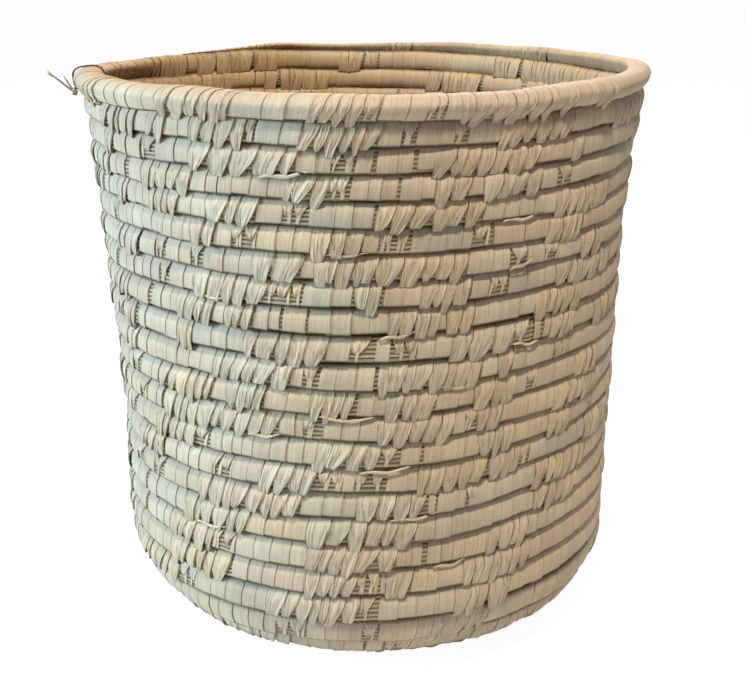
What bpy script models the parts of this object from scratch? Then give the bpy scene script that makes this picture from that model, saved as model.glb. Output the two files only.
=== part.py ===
"""Coiled storage basket with leaf-bound courses and a string tie at the rim.

All lengths are in metres, with +Z up. The origin is the middle of the base, on the
surface that the basket stands on. One bundle of stalks is wound outwards from the
middle of the base and up the wall, and leaf binding covers it one turn at a time.
Each turn of binding is its own sleeve, so the courses come apart like the real ones.
"""

from math import ceil, copysign, cos, floor, pi, radians, sin

import bmesh
import bpy
import numpy as np

# Outline of the basket, over the outside of the binding
WAIST_RADIUS = 0.1960
CORNER_RADIUS = 0.065
FLARE_START_HEIGHT = 0.105
FLARE_RISE = 0.303
FLARE_REACH = 0.0150
MOUTH_LEAN = 0.0058

# The coil: how far one turn lies from the next, and how thick it is through the wall
BASE_PITCH = 0.0212
TOP_PITCH = 0.0164
BASE_DEPTH = 0.0176
TOP_DEPTH = 0.0157
BASE_TURNS = 6
WALL_TURNS = 24

# The rim is the last turn: thicker than the rest, a little outwards, thinning over a long end
RIM_HEIGHT = 0.0164
RIM_DEPTH = 0.0192
RIM_OVERHANG = 0.0026
RIM_SWELL_LENGTH = 0.120
RIM_TAPER_LENGTH = 0.700
RIM_TIP_HEIGHT = 0.0048
RIM_TIP_DEPTH = 0.0090

# Clearances
COURSE_GAP = 0.00045
BUTT_GAP = 0.0003
CORE_CLEARANCE = 0.0003
TIE_CLEARANCE = 0.0003

# The middle of the base, where the bundle starts as a thin tip round a knot
KNOT_RADIUS = 0.0100
KNOT_HEIGHT = 0.0160
KNOT_EDGE_ROUND = 0.0030
START_TURN = 0.25

# The seam at the back left, where each turn of binding ends and the coil runs out
SEAM_ANGLE = radians(140)

# The tie at the far left, and the notches that let its string through
TIE_ANGLE = radians(188)
NOTCH_DEPTH = 0.0008
NOTCH_HALF_WIDTH = 0.0020
NOTCH_RAMP = 0.0030

# The string tie round the rim
STRING_DIAMETER = 0.0012
TIE_SIDE_ROOM = 0.0012
TIE_KNOT_RADIUS = 0.0030
LONG_TAIL_REACH = 0.0170
LONG_TAIL_RISE = 0.0140
LONG_TAIL_SIDE = 0.0040
SHORT_TAIL_REACH = 0.0065
SHORT_TAIL_RISE = 0.0100
SHORT_TAIL_SIDE = -0.0040
TAIL_BOW = 0.0015

# Shapes as shares of the section that they belong to
BINDING_SECTION_SHARES = [(1, 0), (0.5, 1), (-0.5, 1), (-1, 0), (-0.5, -1), (0.5, -1)]
CORE_SECTION_SHARES = [(1, 1), (-1, 1), (-1, -1), (1, -1)]
CORE_HEIGHT_SHARE = 0.54
CORE_DEPTH_SHARE = 0.56
TIE_KNOT_ANGLE = radians(-38)
TIE_BULGE_ANGLE = radians(50)
TIE_BULGE_SHARE = 0.25
LOOP_SQUARENESS_SHARE = 0.667

# Counts
TURN_STATIONS = 22
SMALL_TURN_STATIONS = 11
SMALL_TURNS = 3
OUTLINE_STEPS = 4000
RIM_EASE_STATIONS = 5
LOOP_STATIONS = 26
TAIL_STATIONS = 6
STRING_ROUNDING_STEPS = 1
KNOT_ROUNDING_STEPS = 2

# Angle between two faces past which their edge is shaded sharp
SHARP_ANGLE = radians(40)
MILLIMETRES_PER_METRE = 1000

TURNS = BASE_TURNS + WALL_TURNS
RIM_TURN = TURNS - 1
TIE_TURN = RIM_TURN + (TIE_ANGLE - SEAM_ANGLE) / (2 * pi)


def outline_centre():
    """Middle line of the coil from the axis to above the rim, as radius, height and length run."""
    half_depth = BASE_DEPTH / 2
    flat_end = WAIST_RADIUS - CORNER_RADIUS
    bend = CORNER_RADIUS - half_depth
    flat = np.linspace(0, flat_end, OUTLINE_STEPS)
    turn = np.linspace(0, pi / 2, OUTLINE_STEPS)[1:]
    rise = np.linspace(CORNER_RADIUS, FLARE_START_HEIGHT + 2 * FLARE_RISE, 2 * OUTLINE_STEPS)[1:]
    opened = np.clip((rise - FLARE_START_HEIGHT) / FLARE_RISE, 0, None)
    radius = np.concatenate([
        flat,
        flat_end + bend * np.sin(turn),
        WAIST_RADIUS - half_depth + FLARE_REACH * opened ** 2,
    ])
    height = np.concatenate([
        np.full_like(flat, half_depth),
        CORNER_RADIUS - bend * np.cos(turn),
        rise,
    ])
    steps = np.hypot(np.diff(radius), np.diff(height))
    return radius, height, np.concatenate([[0], np.cumsum(steps)])


OUTLINE = outline_centre()


def outline_point(run):
    """Radius and height of the coil's middle line at a length run, with its unit tangent."""
    radius, height, length = OUTLINE
    step = COURSE_GAP
    ends = [np.array([np.interp(s, length, radius), np.interp(s, length, height)])
            for s in (run - step, run, run + step)]
    tangent = ends[2] - ends[0]
    return ends[1], tangent / np.linalg.norm(tangent)


def wall_progress(turn):
    """Share of the wall's climb that a turn has reached, from 0 on the base to 1 under the rim."""
    return min(max(turn - BASE_TURNS, 0) / (RIM_TURN - BASE_TURNS), 1)


def plain_run(turn):
    """Length run along the outline at a turn, before the rim's own swelling is added."""
    climbed = min(max(turn - BASE_TURNS, 0), RIM_TURN - BASE_TURNS)
    thinning = (BASE_PITCH - TOP_PITCH) / (RIM_TURN - BASE_TURNS)
    over = max(turn - RIM_TURN, 0)
    return (BASE_PITCH * min(turn, BASE_TURNS) + BASE_PITCH * climbed
            - thinning * climbed ** 2 / 2 + TOP_PITCH * over)


def plain_height(turn):
    """Height of the coil's section along the wall, before the rim, the ends and the notches."""
    pitch = BASE_PITCH + (TOP_PITCH - BASE_PITCH) * wall_progress(turn)
    return pitch - COURSE_GAP


def plain_depth(turn):
    """Depth of the coil's section through the wall, before the rim and its end."""
    return BASE_DEPTH + (TOP_DEPTH - BASE_DEPTH) * wall_progress(turn)


def rim_radius():
    """Radius of the coil's middle line where the rim turn begins."""
    return outline_point(plain_run(RIM_TURN))[0][0]


RIM_RADIUS = rim_radius()


def smooth(value):
    """Ease a value from 0 to 1 with level ends."""
    value = min(max(value, 0), 1)
    return value * value * (3 - 2 * value)


def rim_blend(turn):
    """How far the coil has swollen to the rim's size: 0 below the rim, 1 on it."""
    swell_turns = RIM_SWELL_LENGTH / (2 * pi * RIM_RADIUS)
    return smooth((turn - RIM_TURN) / swell_turns)


def tip_blend(turn):
    """How far the rim's end has thinned: 0 on the full rim, 1 at its tip."""
    taper_turns = RIM_TAPER_LENGTH / (2 * pi * RIM_RADIUS)
    return smooth((turn - TURNS) / taper_turns + 1)


def notch_depth(turn):
    """How far the edges of a section are drawn in to let the tie's string pass."""
    away = min(abs(turn - TIE_TURN), abs(turn - TIE_TURN + 1)) * 2 * pi * RIM_RADIUS
    return NOTCH_DEPTH * (1 - smooth((away - NOTCH_HALF_WIDTH) / NOTCH_RAMP))


class Section:
    """Size, middle and directions of the coil's cross section at one turn."""

    def __init__(self, turn):
        swell = rim_blend(turn)
        tip = tip_blend(turn)
        height = plain_height(turn) + (RIM_HEIGHT - plain_height(turn)) * swell
        self.height = height + (RIM_TIP_HEIGHT - height) * tip
        depth = plain_depth(turn) + (RIM_DEPTH - plain_depth(turn)) * swell
        self.depth = depth + (RIM_TIP_DEPTH - depth) * tip
        run = plain_run(turn)
        overhang = RIM_OVERHANG * swell * (1 - tip)
        if turn > RIM_TURN:
            below = Section(turn - 1)
            run = below.run + (below.full_height + self.height) / 2 + COURSE_GAP
        first_full = (KNOT_RADIUS + CORE_CLEARANCE + plain_height(0) / 2) / BASE_PITCH
        if turn < first_full:
            outer = run + self.height / 2
            inner = KNOT_RADIUS + CORE_CLEARANCE
            self.height = outer - inner
            run = (outer + inner) / 2
        self.run = run
        self.full_height = self.height
        self.height -= 2 * notch_depth(turn)
        (radius, level), tangent = outline_point(run)
        self.tangent = tangent
        self.outward = np.array([tangent[1], -tangent[0]])
        self.middle = np.array([radius, level]) + overhang * self.outward
        self.angle = SEAM_ANGLE + 2 * pi * turn

    def place(self, along, outward):
        """World point at a distance up the wall and a distance out of it from the middle."""
        flat = self.middle + along * self.tangent + outward * self.outward
        lean = MOUTH_LEAN * flat[1] / (FLARE_START_HEIGHT + FLARE_RISE)
        return (flat[0] * cos(self.angle) - lean, flat[0] * sin(self.angle), flat[1])

    def ring(self, shares, height, depth):
        """World points of one ring with the given full height and depth."""
        return [self.place(a * height / 2, b * depth / 2) for a, b in shares]

    def binding_ring(self):
        """Outer points of the leaf binding."""
        return self.ring(BINDING_SECTION_SHARES, self.height, self.depth)

    def bore_ring(self):
        """Points of the hole through the binding, which the stalks fill."""
        return self.ring(CORE_SECTION_SHARES, self.height * CORE_HEIGHT_SHARE, self.depth * CORE_DEPTH_SHARE)

    def core_ring(self):
        """Outer points of the stalk bundle, clear of the hole by the core clearance."""
        return self.ring(
            CORE_SECTION_SHARES,
            self.height * CORE_HEIGHT_SHARE - 2 * CORE_CLEARANCE,
            self.depth * CORE_DEPTH_SHARE - 2 * CORE_CLEARANCE,
        )


def grid_turns(start, end):
    """Turns at which the coil has a station between two ends, the ends included."""
    turns = {start, end}
    for count, low, high in ((SMALL_TURN_STATIONS, start, min(end, SMALL_TURNS)),
                             (TURN_STATIONS, max(start, SMALL_TURNS), end)):
        first = ceil(low * count)
        last = floor(high * count)
        turns.update(k / count for k in range(first, last + 1))
    rim_length = 2 * pi * RIM_RADIUS
    for notch in (TIE_TURN - 1, TIE_TURN):
        for reach in (NOTCH_HALF_WIDTH, NOTCH_HALF_WIDTH + NOTCH_RAMP):
            turns.update((notch - reach / rim_length, notch + reach / rim_length))
    for k in range(1, RIM_EASE_STATIONS + 1):
        turns.add(RIM_TURN + k * RIM_SWELL_LENGTH / rim_length / RIM_EASE_STATIONS)
    return sorted(t for t in turns if start <= t <= end)


def pieces_of(turns, least):
    """The turns without any that lie closer than a least step to the one before."""
    kept = [turns[0]]
    for turn in turns[1:-1]:
        if turn - kept[-1] > least and turns[-1] - turn > least:
            kept.append(turn)
    return kept + [turns[-1]]


def butt_turns(turn):
    """Half of the gap between two abutting sleeves at a turn, counted in turns."""
    radius = Section(turn).middle[0]
    return BUTT_GAP / 2 / (2 * pi * radius)


def material(name, colour, roughness):
    """A plain material with a colour and a roughness."""
    made = bpy.data.materials.new(name)
    made.use_nodes = True
    shader = made.node_tree.nodes["Principled BSDF"]
    shader.inputs["Base Color"].default_value = (*colour, 1)
    shader.inputs["Roughness"].default_value = roughness
    return made


def finished(bm, name, finish, parent):
    """Turn a bmesh into an object with its faces out, and hang it on the parent."""
    bmesh.ops.recalc_face_normals(bm, faces=bm.faces)
    mesh = bpy.data.meshes.new(name)
    bm.to_mesh(mesh)
    bm.free()
    mesh.materials.append(finish)
    mesh.shade_smooth()
    mesh.set_sharp_from_angle(angle=SHARP_ANGLE)
    made = bpy.data.objects.new(name, mesh)
    made.parent = parent
    bpy.context.collection.objects.link(made)
    return made


def skin(bm, rings):
    """Join rings of vertices in order with quads."""
    for low, high in zip(rings, rings[1:]):
        for k in range(len(low)):
            n = (k + 1) % len(low)
            bm.faces.new((low[k], low[n], high[n], high[k]))


def sleeve(name, start, end, finish, parent):
    """A turn of binding: a tube whose hole the stalk bundle runs through."""
    bm = bmesh.new()
    low = start + (butt_turns(start) if start > START_TURN else 0)
    high = end - (butt_turns(end) if end < TURNS else 0)
    least = butt_turns(start)
    sections = [Section(t) for t in pieces_of(grid_turns(low, high), least)]
    outer = [[bm.verts.new(p) for p in s.binding_ring()] for s in sections]
    inner = [[bm.verts.new(p) for p in s.bore_ring()] for s in sections]
    skin(bm, outer)
    skin(bm, [list(reversed(ring)) for ring in inner])
    for at in (0, -1):
        edges = []
        for ring in (outer[at], inner[at]):
            edges += [bm.edges.get((ring[k], ring[(k + 1) % len(ring)])) for k in range(len(ring))]
        bmesh.ops.bridge_loops(bm, edges=edges)
    return finished(bm, name, finish, parent)


def core(name, start, end, finish, parent):
    """An unbroken stretch of the stalk bundle, closed at both ends."""
    bm = bmesh.new()
    low = start + (butt_turns(start) if start > START_TURN else 0)
    high = end - (butt_turns(end) if end < TURNS else 0)
    sections = [Section(t) for t in pieces_of(grid_turns(low, high), butt_turns(end))]
    rings = [[bm.verts.new(p) for p in s.core_ring()] for s in sections]
    skin(bm, rings)
    bm.faces.new(rings[0])
    bm.faces.new(rings[-1])
    return finished(bm, name, finish, parent)


def start_knot(finish, parent):
    """The tight knot of stalks that the coil starts round, flat underneath."""
    bm = bmesh.new()
    heights = (0, KNOT_HEIGHT - KNOT_EDGE_ROUND, KNOT_HEIGHT)
    radii = (KNOT_RADIUS, KNOT_RADIUS, KNOT_RADIUS - KNOT_EDGE_ROUND)
    rings = []
    for level, radius in zip(heights, radii):
        angles = [SEAM_ANGLE + 2 * pi * k / SMALL_TURN_STATIONS for k in range(SMALL_TURN_STATIONS)]
        rings.append([bm.verts.new((radius * cos(a), radius * sin(a), level)) for a in angles])
    skin(bm, rings)
    bm.faces.new(rings[0])
    bm.faces.new(rings[-1])
    return finished(bm, "start_knot", finish, parent)


def string_tube(name, path, finish, parent):
    """A round string along a list of points, with flat ends."""
    curve = bpy.data.curves.new(name, "CURVE")
    curve.dimensions = "3D"
    curve.bevel_depth = STRING_DIAMETER / 2
    curve.bevel_resolution = STRING_ROUNDING_STEPS
    curve.use_fill_caps = True
    spline = curve.splines.new("POLY")
    spline.points.add(len(path) - 1)
    for point, place in zip(spline.points, path):
        point.co = (*place, 1)
    curve.materials.append(finish)
    made = bpy.data.objects.new(name, curve)
    made.parent = parent
    bpy.context.collection.objects.link(made)
    return made


class Tie:
    """The string tied round the rim at the far left, with its knot and two tails."""

    def __init__(self):
        self.coil = Section(TIE_TURN)
        room = STRING_DIAMETER / 2 + TIE_CLEARANCE
        self.half_height = self.coil.height / 2 + room
        self.half_depth = self.coil.depth / 2 + room + TIE_SIDE_ROOM

    @staticmethod
    def squared(value):
        """Swell a sine or cosine so that the loop hugs the coil's shoulders."""
        return copysign(abs(value) ** LOOP_SQUARENESS_SHARE, value)

    def loop_point(self, angle):
        """Distances up and out of the rim's middle at an angle round the loop."""
        away = (angle - TIE_KNOT_ANGLE + pi) % (2 * pi) - pi
        bulge = 1 + TIE_BULGE_SHARE * (1 - smooth(abs(away) / TIE_BULGE_ANGLE))
        up = self.half_height * self.squared(sin(angle)) * bulge
        out = self.half_depth * self.squared(cos(angle)) * bulge
        return up, out

    def knot_middle(self):
        """World point at the middle of the knot."""
        return np.array(self.coil.place(*self.loop_point(TIE_KNOT_ANGLE)))

    def loop_path(self):
        """Points from one side of the knot round the rim to the other side."""
        reach = TIE_KNOT_RADIUS + TIE_CLEARANCE
        middle = self.knot_middle()
        angles = np.linspace(TIE_KNOT_ANGLE, TIE_KNOT_ANGLE + 2 * pi, OUTLINE_STEPS)
        points = [np.array(self.coil.place(*self.loop_point(a))) for a in angles]
        clear = [a for a, p in zip(angles, points) if np.linalg.norm(p - middle) > reach]
        return [self.coil.place(*self.loop_point(a))
                for a in np.linspace(clear[0], clear[-1], LOOP_STATIONS)]

    def tail_path(self, reach, rise, side):
        """Points of a tail that leaves the knot outwards and up, a little bowed."""
        outward = np.array([cos(self.coil.angle), sin(self.coil.angle), 0])
        onward = np.array([-sin(self.coil.angle), cos(self.coil.angle), 0])
        up = np.array([0, 0, 1])
        line = outward * reach + up * rise + onward * -side
        length = np.linalg.norm(line)
        start = self.knot_middle() + line * (TIE_KNOT_RADIUS + TIE_CLEARANCE) / length
        return [start + line * share + up * TAIL_BOW * sin(pi * share)
                for share in np.linspace(0, 1, TAIL_STATIONS)]


def tie_knot(tie, finish, parent):
    """The small hard knot that closes the tie outside the rim."""
    bm = bmesh.new()
    bmesh.ops.create_icosphere(bm, subdivisions=KNOT_ROUNDING_STEPS, radius=TIE_KNOT_RADIUS)
    bmesh.ops.translate(bm, verts=bm.verts, vec=tie.knot_middle())
    return finished(bm, "rim_tie_knot", finish, parent)


def least_gap():
    """Least distance between one turn of the coil and the next, on their stations."""
    least = None
    for turn in grid_turns(START_TURN, RIM_TURN):
        here = np.array(Section(turn).binding_ring())
        above = np.array(Section(turn + 1).binding_ring())
        distances = np.linalg.norm(here[:, None] - above[None], axis=2)
        least = distances.min() if least is None else min(least, distances.min())
    return least


def main():
    """Build the basket from its middle to its rim."""
    for old in list(bpy.data.objects):
        bpy.data.objects.remove(old, do_unlink=True)
    leaf = material("bound_leaf", (0.52, 0.40, 0.25), 0.62)
    base_leaf = material("base_leaf", (0.48, 0.37, 0.24), 0.65)
    stalk = material("stalk_bundle", (0.24, 0.14, 0.07), 0.8)
    string = material("tie_string", (0.16, 0.11, 0.07), 0.85)
    basket = bpy.data.objects.new("basket", None)
    bpy.context.collection.objects.link(basket)
    start_knot(base_leaf, basket)
    core("stalk_core_base", START_TURN, BASE_TURNS, stalk, basket)
    core("stalk_core_wall", BASE_TURNS, TURNS, stalk, basket)
    for turn in range(BASE_TURNS):
        sleeve(f"base_binding_{turn + 1}", max(turn, START_TURN), turn + 1, base_leaf, basket)
    for turn in range(BASE_TURNS, RIM_TURN):
        sleeve(f"wall_binding_{turn - BASE_TURNS + 1:02d}", turn, turn + 1, leaf, basket)
    sleeve("rim_binding", RIM_TURN, TURNS, leaf, basket)
    tie = Tie()
    string_tube("rim_tie_loop", tie.loop_path(), string, basket)
    tie_knot(tie, string, basket)
    long_tail = tie.tail_path(LONG_TAIL_REACH, LONG_TAIL_RISE, LONG_TAIL_SIDE)
    short_tail = tie.tail_path(SHORT_TAIL_REACH, SHORT_TAIL_RISE, SHORT_TAIL_SIDE)
    string_tube("rim_tie_long_tail", long_tail, string, basket)
    string_tube("rim_tie_short_tail", short_tail, string, basket)
    print("least gap between turns, mm:", round(least_gap() * MILLIMETRES_PER_METRE, 3))


main()
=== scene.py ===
"""Looks of the coiled basket: leaf binding, stalk bundle, rim tie, lights and camera.

Every length is in metres and every angle in radians unless a name or docstring says
otherwise. The coil is worked out here from the same driving sizes as the solid model, so
each strip of leaf lies on the course that it binds.
"""

from __future__ import annotations

import logging
import math
from dataclasses import dataclass
from enum import Enum
from typing import Callable, Iterable, Sequence

import bpy
import numpy as np
from mathutils import Matrix, Vector

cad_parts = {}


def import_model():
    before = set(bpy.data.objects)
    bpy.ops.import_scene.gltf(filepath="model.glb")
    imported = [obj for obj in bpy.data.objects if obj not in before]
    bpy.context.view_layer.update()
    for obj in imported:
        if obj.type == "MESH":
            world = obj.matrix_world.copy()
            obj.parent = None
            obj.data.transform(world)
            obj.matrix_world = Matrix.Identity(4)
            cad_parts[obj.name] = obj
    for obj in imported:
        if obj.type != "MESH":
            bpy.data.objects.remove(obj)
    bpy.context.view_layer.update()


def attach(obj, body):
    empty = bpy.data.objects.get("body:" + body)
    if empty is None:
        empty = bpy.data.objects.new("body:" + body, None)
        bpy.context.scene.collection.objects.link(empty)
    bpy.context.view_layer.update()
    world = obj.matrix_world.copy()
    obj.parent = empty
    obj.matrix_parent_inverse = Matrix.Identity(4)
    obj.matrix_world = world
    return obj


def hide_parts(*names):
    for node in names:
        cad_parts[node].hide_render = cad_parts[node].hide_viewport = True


LOG = logging.getLogger("basket")
MM = 0.001
TAU = 2 * math.pi
POLE_GAP = 0.02
Colour = tuple[float, float, float]
Place = tuple[float, float, float]
Array = np.ndarray
Socket = bpy.types.NodeSocket
Material = bpy.types.Material
Piece = bpy.types.Object


class StripKind(Enum):
    """How a strip of leaf runs round the coil."""

    WRAP = "wrap"
    STITCH = "stitch"
    TUCK = "tuck"
    SLIT = "slit"


class Tone(Enum):
    """Leaf colours of a stretch of binding, as places on the leaf's tone ramp."""

    PLAIN = None
    GREY = 0.08
    PALE = 0.30
    GREIGE = 0.48
    PINK = 0.68
    STRAW = 0.94


@dataclass(frozen=True)
class Stretch:
    """A stretch of one course, up to a bearing round the basket in degrees."""

    kind: StripKind
    until: float
    count: int
    tone: Tone = Tone.PLAIN


def wraps(until: float, count: int, tone: Tone = Tone.PLAIN) -> Stretch:
    """Plain wraps up to a bearing."""
    return Stretch(StripKind.WRAP, until, count, tone)


def stitches(until: float, count: int, tone: Tone = Tone.PLAIN) -> Stretch:
    """Stitches that hang over the course below, up to a bearing."""
    return Stretch(StripKind.STITCH, until, count, tone)


def tucks(until: float, count: int = 1, tone: Tone = Tone.PLAIN) -> Stretch:
    """Strips gathered in the middle of the course, with stalks showing under them."""
    return Stretch(StripKind.TUCK, until, count, tone)


def slit(until: float) -> Stretch:
    """A narrow gap in which the stalks show."""
    return Stretch(StripKind.SLIT, until, 1)


@dataclass(frozen=True)
class LooseTail:
    """A loose end of leaf that lies along a groove, between two bearings in degrees."""

    turn: int
    start: float
    end: float
    up_start: float
    up_end: float
    width: float
    tone: Tone


FRONT_BEARING = 198.0
FRONT_LAYOUT: dict[int, tuple[Stretch, ...]] = {
    29: (stitches(152, 6), wraps(204, 13), stitches(213, 4), wraps(233, 5), stitches(248, 6),
         wraps(262, 3), stitches(270, 4), tucks(273), wraps(281, 2), tucks(284, 2), wraps(287, 1),
         stitches(305, 7), wraps(308, 1), stitches(310, 1), wraps(318, 3), stitches(322, 2),
         wraps(396, 18), stitches(404, 3), wraps(436, 11), stitches(442, 2), wraps(470, 11),
         stitches(486, 8), stitches(497, 6)),
    28: (wraps(212, 4), stitches(225, 5), wraps(229, 1), stitches(233, 2), wraps(239, 2),
         stitches(250, 4), tucks(252), wraps(260, 2, Tone.GREY), stitches(273, 6), wraps(277, 1),
         tucks(279.5), wraps(286, 2), tucks(288.5), wraps(295, 2, Tone.GREY), stitches(311, 6),
         wraps(326, 5), stitches(340, 5)),
    27: (wraps(212, 4), stitches(216, 2), wraps(226, 2), tucks(230), wraps(239, 2),
         stitches(259, 5), wraps(265, 2), tucks(269, 2), wraps(272, 1), slit(272.6), wraps(279, 2),
         slit(279.6), wraps(283, 1), stitches(303, 7), wraps(312, 3), stitches(315, 1),
         wraps(340, 8, Tone.PALE)),
    26: (wraps(207, 3), stitches(212, 2), wraps(219, 2), slit(220.5), wraps(225, 1),
         stitches(238, 5), wraps(244, 2), wraps(257, 4), stitches(264, 3), tucks(268, 2),
         wraps(276.2, 3), slit(276.9), wraps(283, 2), stitches(289, 2), wraps(292, 1),
         stitches(304, 4), wraps(308, 1), tucks(312), wraps(318, 2), wraps(340, 6, Tone.PALE)),
    25: (wraps(204, 2), slit(206), wraps(214, 3), stitches(218, 2), wraps(226, 3),
         stitches(234, 4), wraps(241, 2), stitches(251, 3), wraps(256, 1, Tone.PINK),
         tucks(261, 2), wraps(272.2, 3, Tone.GREY), slit(272.9), stitches(292, 6, Tone.STRAW),
         wraps(308, 5), stitches(326, 6, Tone.PINK), wraps(340, 5)),
    24: (wraps(210, 3), tucks(212), wraps(226, 4), wraps(237, 4), stitches(242, 2, Tone.PINK),
         wraps(246, 1), tucks(251, 2), wraps(261, 3, Tone.STRAW), stitches(270, 3, Tone.STRAW),
         wraps(273, 1), tucks(278.5, 2), wraps(290, 4, Tone.GREY), slit(290.6), tucks(293.6),
         slit(294.2), wraps(301, 1, Tone.PINK), wraps(307, 2), stitches(316, 5), wraps(340, 7)),
    23: (wraps(210, 3), stitches(220, 4), wraps(226, 1), tucks(229), wraps(236, 2), tucks(239),
         wraps(250, 3), stitches(259, 2), wraps(261.5, 1), stitches(270, 4),
         stitches(281, 3, Tone.STRAW), stitches(289, 3, Tone.STRAW), wraps(298, 2, Tone.PALE),
         tucks(302), wraps(306, 1, Tone.PALE), tucks(310, 2), wraps(317, 2), stitches(325, 2),
         wraps(340, 5)),
    22: (wraps(207, 3), slit(208.5), wraps(226, 5), tucks(229), wraps(236, 2), stitches(252, 5),
         tucks(259, 3), wraps(268.4, 2, Tone.GREY), slit(269), stitches(273, 2), slit(273.6),
         wraps(281, 2), stitches(290, 4), wraps(294, 1), tucks(298, 2), wraps(310, 3, Tone.GREY),
         stitches(330, 7), wraps(340, 3)),
    21: (wraps(203, 1), tucks(206), stitches(212, 3), wraps(221, 2), slit(222.4), wraps(231, 3),
         stitches(240, 4), wraps(243, 1), stitches(249, 3), wraps(254.5, 2), slit(255),
         wraps(259.4, 1), slit(260), wraps(275, 4), stitches(284, 4), wraps(286, 1),
         stitches(291, 2, Tone.STRAW), wraps(305, 4, Tone.PALE), stitches(318, 5, Tone.STRAW),
         wraps(340, 6)),
    20: (wraps(205, 2), tucks(209), stitches(214, 3), slit(216), wraps(230, 4), stitches(234, 3),
         wraps(247, 3, Tone.GREY), stitches(263, 5, Tone.PINK), wraps(267.5, 1),
         tucks(271.5, 1, Tone.STRAW), slit(272.4), wraps(275, 1), slit(275.6), tucks(280, 2),
         wraps(287, 2), stitches(300, 3), tucks(304), slit(304.8), wraps(306.5, 1), slit(307.3),
         wraps(309, 1), slit(309.8), stitches(317, 4), wraps(325, 2), stitches(340, 6)),
    19: (wraps(207, 3), stitches(214, 3), wraps(229, 4), wraps(239, 3, Tone.PINK),
         stitches(256, 6), wraps(258.4, 1), tucks(261.5, 1, Tone.STRAW), wraps(272, 3),
         slit(273.3), stitches(286, 5), stitches(293, 3), wraps(297, 1), stitches(300, 1),
         wraps(311, 3, Tone.PALE), tucks(316, 2), wraps(340, 7, Tone.PINK)),
    18: (wraps(211, 3), tucks(215), wraps(222, 2), slit(223), stitches(238, 6), wraps(242, 1),
         stitches(250, 4), wraps(260, 2), stitches(268, 4), slit(268.7), wraps(274.5, 2),
         stitches(277.5, 1, Tone.PALE), stitches(284, 3), wraps(292, 2),
         stitches(301, 3, Tone.STRAW), wraps(304, 1), tucks(306.6), wraps(319, 3),
         stitches(327, 3, Tone.STRAW), wraps(340, 4)),
    17: (wraps(203, 1), slit(204.6), wraps(214, 3), tucks(217), wraps(223, 2), slit(224),
         stitches(234, 4), stitches(253, 6), wraps(258, 2), tucks(260.5), slit(262),
         wraps(273, 3), stitches(279, 2), stitches(287.5, 3), wraps(290, 1), tucks(293),
         stitches(298, 2), wraps(312, 5, Tone.STRAW), stitches(319, 2, Tone.STRAW),
         stitches(330, 4), wraps(340, 3)),
    16: (wraps(205, 2), tucks(209, 1, Tone.PINK), wraps(220, 3), stitches(233, 5), tucks(237),
         wraps(247, 4), wraps(260.5, 4), stitches(273, 4), tucks(277), wraps(281, 1),
         slit(281.7), wraps(293.6, 3), stitches(301, 3), wraps(311, 3, Tone.STRAW),
         stitches(318, 3, Tone.STRAW), wraps(325, 2), tucks(328), wraps(340, 4)),
    15: (wraps(210, 3), stitches(222, 5), wraps(237, 4), tucks(242, 2), wraps(249, 2),
         stitches(260, 4), slit(260.6), tucks(265.5, 2), wraps(268, 1), tucks(274.5, 2),
         wraps(281, 2), stitches(295, 5, Tone.STRAW), slit(296.4), stitches(303, 3),
         tucks(306.4), wraps(325, 5, Tone.GREY), stitches(340, 5)),
    14: (wraps(207, 3), tucks(212), wraps(217, 1), tucks(221), wraps(233, 3), stitches(257, 8),
         wraps(268.5, 3), stitches(282, 4, Tone.PALE), slit(282.7), wraps(284, 1), slit(284.7),
         wraps(291, 2), tucks(293), wraps(308, 4, Tone.PALE), stitches(316, 3, Tone.STRAW),
         stitches(325, 3), wraps(340, 4)),
    13: (wraps(211, 3), slit(212.2), wraps(228, 4, Tone.PALE), stitches(245, 6),
         wraps(258.3, 3, Tone.STRAW), stitches(270, 3), slit(270.6), stitches(280, 3),
         wraps(308, 9), stitches(322, 5), wraps(340, 6)),
    12: (wraps(210, 3), slit(211), wraps(222, 3, Tone.PALE), stitches(236, 5), tucks(242, 2),
         wraps(258, 4, Tone.PALE), stitches(268.3, 4, Tone.PINK), stitches(276, 2),
         wraps(281.4, 2), slit(282.8), wraps(291, 3), wraps(296, 2, Tone.STRAW),
         stitches(299, 1), stitches(306, 3), wraps(322, 5), wraps(340, 6, Tone.STRAW)),
    11: (wraps(222, 6), stitches(240, 6), slit(240.8), wraps(257.6, 5, Tone.PINK),
         stitches(268, 4, Tone.PINK), tucks(273, 2, Tone.STRAW), wraps(274.5, 1),
         stitches(279.5, 1, Tone.STRAW), wraps(291, 4, Tone.STRAW), stitches(299, 4),
         stitches(307, 3), wraps(340, 11, Tone.PINK)),
    10: (wraps(205, 3), stitches(224, 6), tucks(230, 2), wraps(249, 5, Tone.GREY),
         stitches(258.6, 3, Tone.PALE), stitches(268.4, 4), tucks(272), slit(272.7),
         wraps(289, 4), stitches(302, 5), wraps(318, 5, Tone.STRAW), wraps(340, 7, Tone.PALE)),
    9: (wraps(250, 14), tucks(257, 2), wraps(269, 4), tucks(272.4), wraps(284.4, 3),
        stitches(289, 2), stitches(297, 3), wraps(310, 4), wraps(340, 9)),
}
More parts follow.
